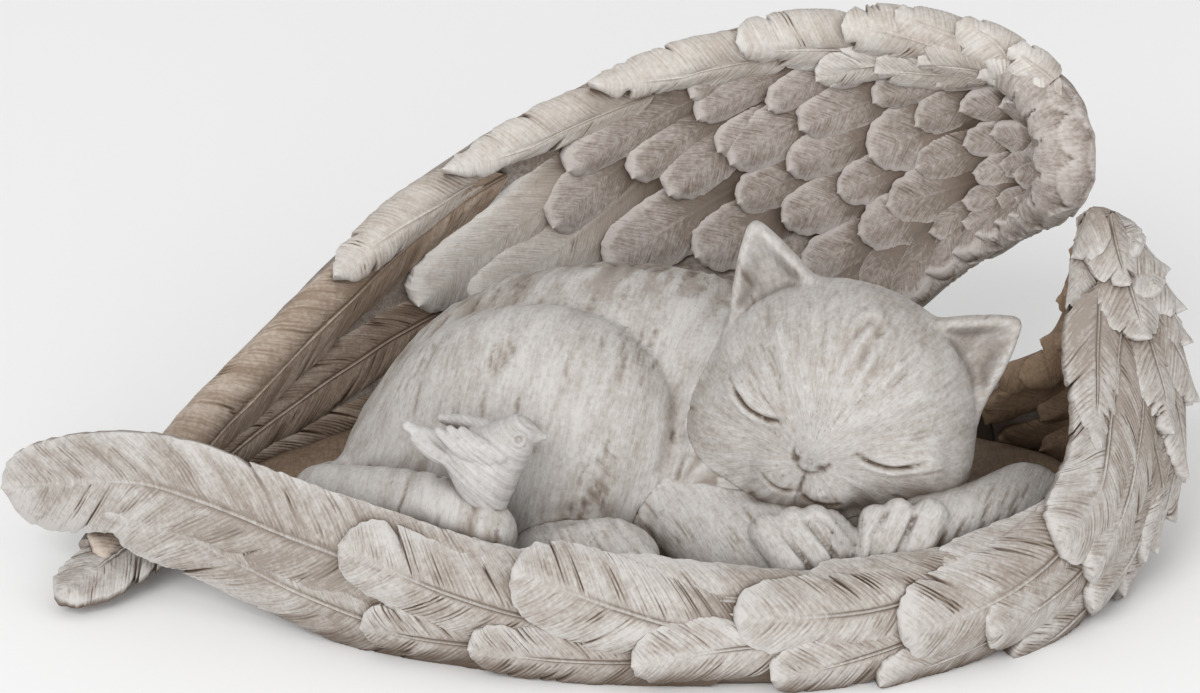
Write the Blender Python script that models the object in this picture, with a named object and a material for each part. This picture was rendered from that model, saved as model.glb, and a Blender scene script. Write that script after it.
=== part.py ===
"""Pet memorial statue: a cat asleep in a pair of angel wings, with a small bird on its tail.

One solid. Lengths are written in millimetres and turned into metres when a mesh is made.
X runs along the statue, -Y is the side that the cat's face looks to, Z is up from the ground.
"""
import math

import bmesh
import bpy
import numpy as np
from mathutils import Vector
from mathutils.bvhtree import BVHTree

MM = 0.001

# Middle of the plan in the frame that the stations are given in
PLAN_MIDDLE = (0.7, -4.3)

# Casting: wall of the wings, flat underside and floor of the nest
WING_WALL = 5.0
NEST_FLOOR = 11.0
SOLE_DEPTH = 4.0

# Relief of the feathers
FEATHER_LIFT = 3.0
FEATHER_CROWN = 1.3
FEATHER_ROOT_DEPTH = 2.2
RIM_ROLL = 5.5

# Fineness of the fused skin
BODY_VOXEL = 1.5
BODY_SOFTENING = 7
SKIN_VOXEL = 0.8
SKIN_SOFTENING = 1
FACES_BEFORE_GROOVES = 9450

# Stations of the back wing, from its shoulder at the right to its tip at the left
BACK_RIM = (
    (104.5, 24, 85.5), (99, 33, 91), (86.5, 43, 96), (59.5, 55, 96.5), (31.5, 59, 92), (-1, 56, 80.5),
    (-33.5, 47, 64.5), (-59.5, 32.5, 44.5), (-87, 7, 24), (-103.5, -17, 11.5), (-115.5, -38, 4),
)
BACK_MIDDLE = (
    (105, 21, 77.5), (101, 36, 76), (90, 47, 72), (66, 58, 63), (36, 63, 51), (2, 60, 41),
    (-31, 52, 32), (-57, 38, 22.5), (-85, 12, 12.5), (-101, -15, 6.5), (-114.5, -38, 3),
)
BACK_FOOT = (
    (104, 21, 67.5), (97, 27, 58), (87, 33, 46.5), (67, 40, 25.5), (42, 45, 3), (6, 48, -2),
    (-30, 43, -2), (-57, 32, -2), (-84, 9, -2), (-100, -15, -1), (-113.5, -37, 1.5),
)

# Stations of the front wing, from its end behind the cat's head, over the shoulder, to its tip
FRONT_RIM = (
    (87, 28, 12), (104, 16, 23), (107, 6, 57), (109, -3, 73.5), (105.5, -14, 58.5), (104, -27, 41.5),
    (99, -43, 28.5), (76, -60, 23), (48, -66.5, 21.5), (8, -67.5, 25), (-30, -60.5, 28), (-62, -49, 31),
    (-93, -34, 33), (-119, -20, 26),
)
FRONT_MIDDLE = (
    (90, 30, 6), (108, 22, 15), (120, 10, 33), (124, -4, 38), (120.5, -18, 31), (113, -32, 23),
    (101, -47, 15.5), (79, -63.5, 12.5), (48, -72, 11.5), (6, -72.5, 14), (-31, -65, 16), (-61, -52, 20.5),
    (-93, -35, 26), (-119, -20, 21.5),
)
FRONT_FOOT = (
    (86, 29, -2), (102, 19, -2), (113, 5, 1), (116, -12, 2), (112, -25, 2), (104, -37, 1),
    (94, -49, -1), (74, -60, -2), (46, -70, -2), (4, -70, -1), (-31, -63, 3), (-58, -53, 8),
    (-93, -36, 18.5), (-119, -20, 16.5),
)

# Plan of the nest that joins the wings under the cat
NEST_PLAN = (
    (84, 26), (62, 39), (30, 44), (-10, 46), (-45, 38), (-75, 16), (-90, -6), (-80, -28), (-56, -48),
    (-30, -60), (5, -68), (45, -69), (75, -59), (98, -46), (111, -28), (113, -8), (104, 14),
)

# Rows of small feathers on the back wing: place of the tips along the wing, length, width, number
BACK_ROWS = (
    (0.055, 8, 6, 4), (0.085, 9, 6.5, 5), (0.12, 10, 7.5, 5), (0.155, 12, 8.5, 5), (0.195, 14, 9.5, 6),
    (0.24, 16, 11, 6), (0.29, 19, 12.5, 6), (0.345, 22, 14, 6), (0.405, 25, 15, 6), (0.465, 29, 16, 6),
    (0.53, 34, 17, 5), (0.60, 40, 19, 4),
)
# Flight feathers of the back wing: root and tip as (along, across), then width
BACK_FLIGHT = (
    ((0.60, 0.80), (0.86, 0.86), 17), ((0.55, 0.48), (0.93, 0.55), 18), ((0.52, 0.20), (1.02, 0.35), 20),
)
# Feathers folded over the back wing's rim: place of the tip along the rim, length, width
BACK_RIM_FEATHERS = (
    (0.09, 16, 12), (0.15, 20, 14), (0.21, 24, 15), (0.29, 30, 17), (0.395, 40, 18), (0.495, 46, 19),
    (0.60, 50, 19), (0.70, 46, 18), (0.805, 46, 16),
)
# Outer feathers of the front wing: root and tip as (along, across), then width
FRONT_FEATHERS = (
    ((0.76, 0.50), (1.022, 0.50), 20),
    ((0.72, 0.80), (0.817, 0.90), 15), ((0.71, 0.33), (0.827, 0.18), 20),
    ((0.68, 0.62), (0.761, 0.80), 17), ((0.64, 0.34), (0.743, 0.18), 21),
    ((0.61, 0.60), (0.688, 0.76), 16), ((0.57, 0.22), (0.654, 0.34), 18),
    ((0.56, 0.68), (0.636, 0.84), 17), ((0.47, 0.20), (0.582, 0.48), 21),
    ((0.50, 0.72), (0.588, 0.86), 15), ((0.45, 0.50), (0.534, 0.64), 17),
    ((0.43, 0.80), (0.51, 0.92), 14), ((0.36, 0.24), (0.488, 0.20), 18),
    ((0.36, 0.62), (0.455, 0.76), 16), ((0.31, 0.10), (0.415, 0.06), 15),
    ((0.30, 0.86), (0.38, 0.92), 15), ((0.29, 0.44), (0.375, 0.46), 16),
    ((0.25, 0.66), (0.325, 0.72), 15), ((0.25, 0.24), (0.33, 0.26), 14),
    ((0.225, 0.08), (0.285, 0.06), 12), ((0.22, 0.46), (0.28, 0.50), 13),
    ((0.215, 0.26), (0.265, 0.27), 12), ((0.19, 0.12), (0.24, 0.11), 11),
    ((0.18, 0.62), (0.24, 0.68), 13), ((0.185, 0.34), (0.235, 0.37), 12),
)
# Plainer feathers on the sides that face inwards or back: first tip, last tip, rows, across, length, width
FRONT_INNER_ROWS = (0.10, 0.86, 9, 2, 34, 17)
FRONT_BEHIND_ROWS = (0.05, 0.20, 4, 4, 17, 12)

# Cat's trunk and limbs: centre and half sizes of each mass
TRUNK = (
    ((4, 10, 19), (54, 36, 37)),
    ((-27, -2, 11), (31, 28, 25)),
    ((38, 8, 18), (36, 30, 30)),
    ((30, -14, 15), (26, 27, 25)),
    ((38, -8, 32), (22, 20, 20)),
    ((56, -36, 11), (26, 17, 15)),
)
HAUNCH = ((-12.5, -12, 24.5), (34, 26, 32.5))
HAUNCH_TURN = -14.0
HIND_FOOT = ((0, -51, 18), (14, 9, 8.5))
HIND_SHIN = ((-12, -44, 16), (16, 10, 9))
# Tail and forelegs: points with their radii
TAIL = (
    ((-64, -4, 10), 8.5), ((-60, -20, 14), 7.6), ((-50, -36, 23), 7.2), ((-38, -46, 27.5), 7.0),
    ((-28, -51.5, 26.5), 6.8), ((-21, -54, 22), 6.0),
)
LEFT_FORELEG = (((18, -28, 15), 13), ((30, -42, 16), 11), ((40, -49, 18), 9))
RIGHT_FORELEG = (((92, -22, 15), 10), ((82, -36, 18), 9.5), ((70, -47, 19), 9))
# Toes: root and tip of each
TOE_RADIUS = 3.9
TOES = (
    ((34, -52, 22), (40, -58, 17)), ((39, -53, 24), (46, -60, 19)), ((43.5, -52, 25), (51, -59, 21)),
    ((57, -53, 23), (55, -60, 19)), ((63, -53, 25), (61, -61, 20)), ((69.5, -52, 26), (68, -60, 21)),
    ((-3, -53, 23), (4, -58, 20)), ((2, -52, 24), (10, -57, 20.5)), ((-8, -53, 22), (-1, -59, 18)),
)

# Head: centre, the way that it looks and leans in degrees, and its masses in its own axes
HEAD_CENTRE = (53.2, -20, 40)
HEAD_YAW = 9.5
HEAD_PITCH = 15.0
HEAD_LEAN = 18.5
HEAD_MASSES = (
    ((0, 0, -2), (30, 26.5, 25)),
    ((-15, -11, 4), (15, 14, 15)),
    ((15, -10, 4), (15, 13, 15)),
    ((0, 3, 9), (17, 18, 15)),
    ((0, -11, 17), (10, 9, 9)),
)
MUZZLE = (
    ((-4.4, -14.8, 22.5), (5.4, 4.8, 5)),
    ((4.4, -14.8, 22.5), (5.4, 4.8, 5)),
    ((0, -20.5, 18.5), (6, 4.5, 5)),
    ((0, -4, 21), (4.2, 8.5, 6)),
    ((0, -10, 26.2), (3.1, 2.2, 2.2)),
)
# Ears in the head's axes: the two ends of the base and the tip
LEFT_EAR = ((-31, 6, -4), (-15, 20, -2), (-33, 26.5, -1))
RIGHT_EAR = ((8, 23, -2), (27, 10, -4), (26.5, 29, -1))
EAR_THICKNESS = 7.5

# Slits of the closed eyes and the mouth, as (right, up) with the depth, in the head's axes
EYE_SLIT = ((8.0, -5.4), (11.5, -7.2), (15.5, -7.4), (19.5, -5.6), (22.5, -2.4))
EYE_DEPTH = (23.5, 22.5, 20.8, 18.0, 15.0)
MOUTH = ((0, -17, 27), (4, -19.2, 26), (8, -18.2, 23), (10.5, -15.5, 20))
SLIT_RADIUS = 0.75

# Bird: masses along its own body, and the fans of its tail and wings
BIRD_MASSES = (
    ((-24, -47, 39.5), (8.5, 6.2, 6)), ((-19, -47.5, 42), (5.6, 5, 5)), ((-16.6, -48, 44.6), (4.5, 4.2, 4.1)),
)
BIRD_BEAK = (((-13.5, -48.5, 44.6), 1.9), ((-10.6, -49, 44.0), 0.7))
BIRD_TAIL = (((-27, -46.5, 40.5), 3.4), ((-34, -46, 43), 2.6), ((-40.5, -45.5, 45.6), 1.7))
BIRD_WINGS = (
    (((-20, -52.2, 42), 2.6), ((-26, -52.6, 43.2), 2.9), ((-33.5, -50.5, 44.6), 1.3)),
    (((-20, -42.2, 42), 2.6), ((-26, -41.6, 43.2), 2.9), ((-33, -43, 45), 1.3)),
)
BIRD_LEGS = (((-21.5, -49, 36), 2.6), ((-21, -50, 30), 3.0))

STONE_COLOUR = (0.64, 0.57, 0.49, 1)
STONE_ROUGHNESS = 0.85


PLAN_SHIFT = np.array((PLAN_MIDDLE[0], PLAN_MIDDLE[1], 0))


def clear_scene():
    """Remove what the scene holds."""
    for thing in list(bpy.data.objects):
        bpy.data.objects.remove(thing)


def smooth_line(points):
    """Smooth curve through the points, at equal steps of its parameter; straight past both ends."""
    points = np.array(points, float)
    slopes = np.gradient(points, axis=0)
    last = len(points) - 1

    def at(share):
        place = np.asarray(share, float) * last
        inside = np.clip(place, 0, last)
        index = np.minimum(inside.astype(int), last - 1)
        t = (inside - index)[..., None]
        start, end = points[index], points[index + 1]
        leave, arrive = slopes[index], slopes[index + 1]
        curve = (
            start * (2 * t**3 - 3 * t**2 + 1) + leave * (t**3 - 2 * t**2 + t)
            + end * (3 * t**2 - 2 * t**3) + arrive * (t**3 - t**2)
        )
        end_slope = np.where((place > last)[..., None], slopes[-1], slopes[0])
        return curve + (place - inside)[..., None] * end_slope

    return at


def wing_sheet(rim, middle, foot):
    """Bent sheet of a wing: along from shoulder to tip, across from rim to foot."""
    lines = [smooth_line(line) for line in (rim, middle, foot)]

    def at(along, across):
        top, mid, low = (line(along) for line in lines)
        v = np.asarray(across, float)[..., None]
        return top * (1 - v) * (1 - 2 * v) + mid * 4 * v * (1 - v) + low * v * (2 * v - 1)

    return at


def slopes_and_normal(sheet, along, across):
    """Slopes of a sheet both ways and its unit normal, which faces -Y on the front side."""
    step = 0.004
    slope_along = (sheet(along + step, across) - sheet(along - step, across)) / (2 * step)
    slope_across = (sheet(along, across + step) - sheet(along, across - step)) / (2 * step)
    normal = np.cross(slope_along, slope_across)
    normal /= np.linalg.norm(normal, axis=-1, keepdims=True)
    return slope_along, slope_across, normal


def rolled_rim(sheet, radius):
    """Sheet that rolls over a wing's rim, across from the cat's side to the far side."""

    def at(along, across):
        along = np.asarray(along, float)
        zero = np.zeros_like(along)
        _, down, normal = slopes_and_normal(sheet, along, zero)
        down = down / np.linalg.norm(down, axis=-1, keepdims=True)
        angle = math.pi * np.asarray(across, float)[..., None]
        return sheet(along, zero) + radius * (np.cos(angle) * normal - np.sin(angle) * down)

    return at


def loft(rings):
    """Closed mesh data through rings of points, with a cap on both ends."""
    count = len(rings[0])
    points = [tuple(point) for ring in rings for point in ring]
    faces = []
    for r in range(len(rings) - 1):
        for k in range(count):
            a = r * count + k
            b = r * count + (k + 1) % count
            faces.append((a, b, b + count, a + count))
    faces.append(tuple(range(count))[::-1])
    faces.append(tuple(range((len(rings) - 1) * count, len(rings) * count)))
    return points, faces


def wall(sheet, along_steps, across_steps):
    """A wing's wall: its sheet made WING_WALL thick."""
    along = np.linspace(0, 1, along_steps + 1)
    across = np.linspace(0, 1, across_steps + 1)
    rings = []
    for u in along:
        us = np.full_like(across, u)
        _, _, normal = slopes_and_normal(sheet, us, across)
        points = sheet(us, across)
        near = points + normal * WING_WALL / 2
        far = points - normal * WING_WALL / 2
        rings.append(np.vstack([near, far[::-1]]))
    return loft(rings)


def blade_width(share):
    """Half width of a feather as a share of its greatest, from root to rounded tip."""
    return (0.62 + 0.38 * math.sin(min(share / 0.6, 1) * math.pi / 2)) * (1 - share**7) ** 0.5 + 0.03


def feather(sheet, root, tip, width, side=1, rise=1.0):
    """One feather lying on a sheet, its root sunk in the wall and its tip standing proud."""
    shares = np.append(np.linspace(0, 0.8, 5), (0.9, 0.96, 1.0))
    across_shares = np.array((-1, -0.5, 0, 0.5, 1))
    rings = []
    for s in shares:
        along = root[0] + (tip[0] - root[0]) * s
        across = root[1] + (tip[1] - root[1]) * s
        step_along, step_across, _ = slopes_and_normal(sheet, along, across)
        forward = step_along * (tip[0] - root[0]) + step_across * (tip[1] - root[1])
        normal = np.cross(step_along, step_across)
        sideways = np.cross(normal, forward)
        sideways /= np.linalg.norm(sideways)
        grid = np.column_stack([step_along, step_across])
        shift = np.linalg.lstsq(grid, sideways, rcond=None)[0] * width / 2 * blade_width(s)
        us = along + shift[0] * across_shares
        vs = across + shift[1] * across_shares
        _, _, normals = slopes_and_normal(sheet, us, vs)
        level = WING_WALL / 2 - 0.4 + FEATHER_LIFT * rise * s**1.3
        height = level + FEATHER_CROWN * (1 - across_shares**2)
        top = sheet(us, vs) + normals * (side * height)[:, None]
        depth = level - FEATHER_ROOT_DEPTH - 0.6 * FEATHER_LIFT * s
        under = sheet(us[1::2], vs[1::2]) + normals[1::2] * side * depth
        rings.append(np.vstack([top, under[::-1]]))
    return loft(rings)


def length_to_share(sheet, along, across, length):
    """Share of the wing's parameter that a length along it takes."""
    slope_along, _, _ = slopes_and_normal(sheet, along, across)
    return length / np.linalg.norm(slope_along)


def feather_rows(sheet, rows, side):
    """Overlapping rows of feathers across a sheet, each row set off by half a feather."""
    parts = []
    for index, (tip_along, length, width, number) in enumerate(rows):
        offset = 0.5 * (index % 2)
        for k in range(number + index % 2):
            across = (k + 0.5 - offset) / number
            across = min(max(across, 0.04), 0.97)
            reach = length_to_share(sheet, tip_along, across, length)
            tip = (tip_along, across)
            root = (max(tip_along - reach, 0.01), across)
            parts.append(feather(sheet, root, tip, width, side))
    return parts


def even_rows(first, last, rows, number, length, width):
    """Rows of like feathers at even steps."""
    return tuple((tip, length, width, number) for tip in np.linspace(first, last, rows))


def back_wing():
    """Back wing: its wall, the rows inside and outside, the flight feathers and the rim."""
    sheet = wing_sheet(BACK_RIM, BACK_MIDDLE, BACK_FOOT)
    parts = [wall(sheet, 40, 12)]
    for side in (1, -1):
        parts += feather_rows(sheet, BACK_ROWS, side)
        parts += [feather(sheet, root, tip, width, side) for root, tip, width in BACK_FLIGHT]
    roll = rolled_rim(sheet, RIM_ROLL - WING_WALL / 2)
    for tip_along, length, width in BACK_RIM_FEATHERS:
        reach = length_to_share(roll, tip_along, 0.5, length)
        parts.append(feather(roll, (tip_along - reach, 0.55), (tip_along, 0.42), width, rise=1.5))
    return parts


def front_wing():
    """Front wing: its wall, the carved outer feathers and plainer ones inside and behind."""
    sheet = wing_sheet(FRONT_RIM, FRONT_MIDDLE, FRONT_FOOT)
    parts = [wall(sheet, 52, 10)]
    parts += [feather(sheet, root, tip, width) for root, tip, width in FRONT_FEATHERS]
    parts += feather_rows(sheet, even_rows(*FRONT_INNER_ROWS), -1)
    parts += feather_rows(sheet, even_rows(*FRONT_BEHIND_ROWS), 1)
    return parts


def nest():
    """Solid nest under the cat, from below the ground line to its floor."""
    plan = smooth_line(NEST_PLAN + NEST_PLAN[:1])(np.linspace(0, 1, 69)[:-1])
    middle = plan.mean(axis=0)
    rings = []
    for height, share in ((-SOLE_DEPTH, 0.97), (2, 1.0), (NEST_FLOOR - 3, 0.99), (NEST_FLOOR, 0.93)):
        ring = middle + (plan - middle) * share
        rings.append(np.column_stack([ring, np.full(len(ring), height)]))
    return loft(rings)


def ellipsoid(centre, half_sizes, axes=None, steps=20):
    """Egg-shaped mass; axes are the columns of its own frame."""
    axes = np.eye(3) if axes is None else axes
    rings = []
    for polar in np.linspace(0.02, math.pi - 0.02, steps // 2 + 1):
        ring = []
        for turn in np.linspace(0, 2 * math.pi, steps, endpoint=False):
            unit = (
                math.sin(polar) * math.cos(turn), math.sin(polar) * math.sin(turn), math.cos(polar),
            )
            ring.append(np.array(centre) + axes @ (np.array(unit) * half_sizes))
        rings.append(ring)
    return loft(rings[::-1])


def turned(degrees):
    """Axes turned about the vertical."""
    angle = math.radians(degrees)
    return np.array((
        (math.cos(angle), -math.sin(angle), 0), (math.sin(angle), math.cos(angle), 0), (0, 0, 1),
    ))


def tube(points_and_radii, steps=24, sides=14, cap_rings=4):
    """Limb or cord through points with radii, rounded at both ends."""
    points = smooth_line([point for point, _ in points_and_radii])
    radii = smooth_line([(radius,) for _, radius in points_and_radii])
    shares = np.linspace(0, 1, steps + 1)
    centres = points(shares)
    sizes = radii(shares)[:, 0]
    tangents = np.gradient(centres, axis=0)
    tangents /= np.linalg.norm(tangents, axis=1, keepdims=True)
    angles = np.linspace(0, math.pi / 2, cap_rings + 1)[:-1]
    start = [(centres[0] - tangents[0] * sizes[0] * math.cos(a), tangents[0], sizes[0] * math.sin(a))
             for a in angles]
    end = [(centres[-1] + tangents[-1] * sizes[-1] * math.cos(a), tangents[-1], sizes[-1] * math.sin(a))
           for a in angles[::-1]]
    run = start + list(zip(centres, tangents, sizes)) + end
    reference = np.array((0.13, 0.31, 0.94))
    rings = []
    for centre, tangent, size in run:
        first = np.cross(tangent, reference)
        first /= np.linalg.norm(first)
        second = np.cross(tangent, first)
        reference = np.cross(first, tangent)
        size = max(size, 0.05)
        turn = np.linspace(0, 2 * math.pi, sides, endpoint=False)
        rings.append([centre + size * (math.cos(a) * first + math.sin(a) * second) for a in turn])
    return loft(rings)


def head_axes():
    """Columns: the head's right as it faces the viewer, its up, and the way that it looks."""
    yaw, pitch, lean = (math.radians(angle) for angle in (HEAD_YAW, HEAD_PITCH, HEAD_LEAN))
    forward = np.array((-math.sin(yaw) * math.cos(pitch), -math.cos(yaw) * math.cos(pitch), math.sin(pitch)))
    level = np.cross((0, 0, 1), forward)
    level /= np.linalg.norm(level)
    upright = np.cross(forward, level)
    up = math.cos(lean) * upright + math.sin(lean) * level
    right = np.cross(up, forward)
    return np.column_stack([right, up, forward])


def in_head(point):
    """Place of a point that is given in the head's axes."""
    return np.array(HEAD_CENTRE) + head_axes() @ np.array(point, float)


def ear(base_start, base_end, tip):
    """Pointed ear with a hollow front, given in the head's axes."""
    start, end, top = (np.array(point, float) for point in (base_start, base_end, tip))
    rings = []
    for share in np.append(np.linspace(-0.35, 0.9, 9), 0.99):
        left = start + (top - start) * share
        right = end + (top - end) * share
        bulge = 1 + 0.25 * math.sin(math.pi * min(max(share, 0), 1))
        middle = (left + right) / 2
        half = (right - left) / 2 * bulge
        taper = 1 - 0.8 * max(share, 0)
        ring = []
        for turn in np.linspace(0, 2 * math.pi, 16, endpoint=False):
            side = math.cos(turn)
            front = math.sin(turn)
            depth = EAR_THICKNESS / 2 * taper * front
            if front > 0:
                depth -= EAR_THICKNESS * 0.62 * taper * (1 - side**2) * min(max(share + 0.2, 0), 1)
            ring.append(in_head(middle + half * side + np.array((0, 0, depth))))
        rings.append(ring)
    return loft(rings)


def cat_forms():
    """The cat's masses in two groups: the broad ones, which are softened, and the small ones."""
    axes = head_axes()
    broad = [ellipsoid(*mass) for mass in TRUNK]
    broad += [ellipsoid(in_head(centre), sizes, axes) for centre, sizes in HEAD_MASSES]
    broad += [tube(LEFT_FORELEG), tube(RIGHT_FORELEG)]
    small = [ellipsoid(*HAUNCH, turned(HAUNCH_TURN)), ellipsoid(*HIND_FOOT), ellipsoid(*HIND_SHIN)]
    small += [ellipsoid(in_head(centre), sizes, axes) for centre, sizes in MUZZLE]
    small += [ear(*LEFT_EAR), ear(*RIGHT_EAR), tube(TAIL)]
    small += [tube(((root, TOE_RADIUS), (tip, TOE_RADIUS * 0.85)), 4, 12) for root, tip in TOES]
    return broad, small


def bird():
    """Small bird on the tail: body, beak, tail, folded wings and legs."""
    parts = [ellipsoid(*mass) for mass in BIRD_MASSES]
    parts += [tube(line, 10, 10) for line in (BIRD_BEAK, BIRD_TAIL, BIRD_LEGS) + BIRD_WINGS]
    return parts


def mesh_of(parts, name):
    """One mesh in metres from the mesh data of several closed forms."""
    points = []
    faces = []
    for part_points, part_faces in parts:
        start = len(points)
        points += [tuple((np.array(point) - PLAN_SHIFT) * MM) for point in part_points]
        faces += [tuple(start + index for index in face) for face in part_faces]
    mesh = bpy.data.meshes.new(name)
    mesh.from_pydata(points, [], faces)
    work = bmesh.new()
    work.from_mesh(mesh)
    bmesh.ops.recalc_face_normals(work, faces=work.faces)
    work.to_mesh(mesh)
    work.free()
    return mesh


def place(mesh, name):
    """Object for a mesh, in the scene."""
    thing = bpy.data.objects.new(name, mesh)
    bpy.context.collection.objects.link(thing)
    return thing


def baked(thing, name):
    """The object's mesh with its modifiers applied; the object goes."""
    bpy.context.view_layer.update()
    depsgraph = bpy.context.evaluated_depsgraph_get()
    mesh = bpy.data.meshes.new_from_object(thing.evaluated_get(depsgraph))
    mesh.name = name
    bpy.data.objects.remove(thing)
    return mesh


def fused(mesh, voxel, rounds, name):
    """Overlapping closed forms fused into one skin and softened."""
    thing = place(mesh, name)
    fuse = thing.modifiers.new("Fuse", "REMESH")
    fuse.mode = "VOXEL"
    fuse.voxel_size = voxel * MM
    soften = thing.modifiers.new("Soften", "SMOOTH")
    soften.factor = 0.5
    soften.iterations = rounds
    return baked(thing, name)


def joined(meshes, name):
    """One mesh that holds several."""
    work = bmesh.new()
    for mesh in meshes:
        work.from_mesh(mesh)
    result = bpy.data.meshes.new(name)
    work.to_mesh(result)
    work.free()
    return result


def thinned(mesh, faces, name):
    """The skin with fewer triangles, most of them where it bends."""
    thing = place(mesh, name)
    triangles = thing.modifiers.new("Triangles", "TRIANGULATE")
    triangles.quad_method = "FIXED"
    thin = thing.modifiers.new("Thin", "DECIMATE")
    thin.ratio = faces / (2 * len(mesh.polygons))
    return baked(thing, name)


def groove(surface, points, radius):
    """Cutter along points that are first drawn to the nearest place on the surface."""
    drawn = []
    for point in points:
        start = Vector((np.array(point) - PLAN_SHIFT) * MM)
        place_on, normal, _, _ = surface.find_nearest(start)
        middle = np.array(place_on + normal * radius * MM * 0.25) / MM + PLAN_SHIFT
        drawn.append((middle, radius))
    return tube(drawn, 3 * len(drawn), 6, 2)


def carved_lines(mesh):
    """Cutters for the slits of the eyes and the mouth."""
    work = bmesh.new()
    work.from_mesh(mesh)
    surface = BVHTree.FromBMesh(work)
    work.free()
    cutters = []
    for side in (-1, 1):
        slit = [in_head((side * a, b, depth)) for (a, b), depth in zip(EYE_SLIT, EYE_DEPTH)]
        cutters.append(groove(surface, slit, SLIT_RADIUS))
        mouth = [in_head((side * (a + 0.9), b, depth)) for a, b, depth in MOUTH]
        cutters.append(groove(surface, mouth, SLIT_RADIUS))
    return cutters


def cut(thing, parts, name):
    """Take closed forms out of an object."""
    cutter = place(mesh_of(parts, name), name)
    cutter.hide_render = True
    cutter.display_type = "WIRE"
    change = thing.modifiers.new(name, "BOOLEAN")
    change.operation = "DIFFERENCE"
    change.object = cutter
    change.solver = "EXACT"
    return cutter


def below_ground():
    """Block that trims the underside flat."""
    wide = 300.0
    corners = np.array(((-wide, -wide), (wide, -wide), (wide, wide), (-wide, wide)))
    rings = [np.column_stack([corners, np.full(4, height)]) for height in (-60.0, 0.0)]
    return [loft(rings)]


def stone():
    """Pale cast stone."""
    material = bpy.data.materials.new("cast_stone")
    material.use_nodes = True
    shader = material.node_tree.nodes["Principled BSDF"]
    shader.inputs["Base Color"].default_value = STONE_COLOUR
    shader.inputs["Roughness"].default_value = STONE_ROUGHNESS
    shader.inputs["Metallic"].default_value = 0.0
    return material


def statue():
    """The whole statue as one object."""
    broad, small = cat_forms()
    body = fused(mesh_of(broad, "trunk"), BODY_VOXEL, BODY_SOFTENING, "trunk")
    rest = mesh_of(small + bird() + back_wing() + front_wing() + [nest()], "details")
    skin = fused(joined([body, rest], "forms"), SKIN_VOXEL, SKIN_SOFTENING, "skin")
    shape = thinned(skin, FACES_BEFORE_GROOVES, "shape")
    thing = place(shape, "shape")
    cutters = [cut(thing, below_ground(), "ground"), cut(thing, carved_lines(shape), "lines")]
    finished = baked(thing, "cat_in_angel_wings")
    for cutter in cutters:
        bpy.data.objects.remove(cutter)
    result = place(finished, "cat_in_angel_wings")
    finished.materials.clear()
    finished.materials.append(stone())
    return result


clear_scene()
statue()
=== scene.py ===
"""Looks of the pet memorial statue: a cat asleep in angel wings, with a small bird on its tail.

Lengths are in millimetres in the sculptor's frame and turned into metres when a mesh is made.
X runs along the statue, -Y is the side that the cat's face looks to, Z is up from the ground.
"""

import math

import bpy
import numpy as np
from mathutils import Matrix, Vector


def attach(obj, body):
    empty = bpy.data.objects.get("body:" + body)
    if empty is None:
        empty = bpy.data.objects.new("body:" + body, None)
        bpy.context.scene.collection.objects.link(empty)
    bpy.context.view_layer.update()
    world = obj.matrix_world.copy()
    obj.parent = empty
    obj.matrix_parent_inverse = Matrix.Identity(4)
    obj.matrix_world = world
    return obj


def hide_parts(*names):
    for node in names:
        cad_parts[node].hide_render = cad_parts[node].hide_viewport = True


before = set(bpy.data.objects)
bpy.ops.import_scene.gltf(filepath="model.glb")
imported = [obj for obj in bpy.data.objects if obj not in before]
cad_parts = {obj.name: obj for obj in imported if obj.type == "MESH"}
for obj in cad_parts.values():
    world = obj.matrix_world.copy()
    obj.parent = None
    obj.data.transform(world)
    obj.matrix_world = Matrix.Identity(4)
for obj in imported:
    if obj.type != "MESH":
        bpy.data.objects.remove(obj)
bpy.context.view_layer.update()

MM = 0.001
PLAN_MIDDLE = np.array((0.7, -4.3, 0.0))
NODE = "cat_in_angel_wings"

# Camera: degrees above the horizon, height of the point that it looks at, its distance and its lens
CAMERA_RISE = 25
CAMERA_HEIGHT = 43.5
CAMERA_DISTANCE = 1000
CAMERA_LENS = 137.4
CAMERA_SENSOR = 36

# Casting: wall of the wings and floor of the nest
WING_WALL = 5.0
NEST_FLOOR = 11.0

# Stations of the back wing, from its shoulder at the right to its tip at the left
BACK_RIM = (
    (104.5, 24, 85.5), (99, 33, 91), (86.5, 43, 96), (59.5, 55, 96.5), (31.5, 59, 92), (-1, 56, 80.5),
    (-33.5, 47, 64.5), (-59.5, 32.5, 44.5), (-87, 7, 24), (-103.5, -17, 11.5), (-115.5, -38, 4),
)
BACK_MIDDLE = (
    (105, 21, 77.5), (101, 36, 76), (90, 47, 72), (66, 58, 63), (36, 63, 51), (2, 60, 41),
    (-31, 52, 32), (-57, 38, 22.5), (-85, 12, 12.5), (-101, -15, 6.5), (-114.5, -38, 3),
)
BACK_FOOT = (
    (104, 21, 68), (97, 27, 61), (87, 33, 51.5), (67, 40, 30.5), (42, 45, 3), (6, 48, -2),
    (-30, 43, -2), (-57, 32, -2), (-84, 9, -2), (-100, -15, -1), (-113.5, -37, 1.5),
)

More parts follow.
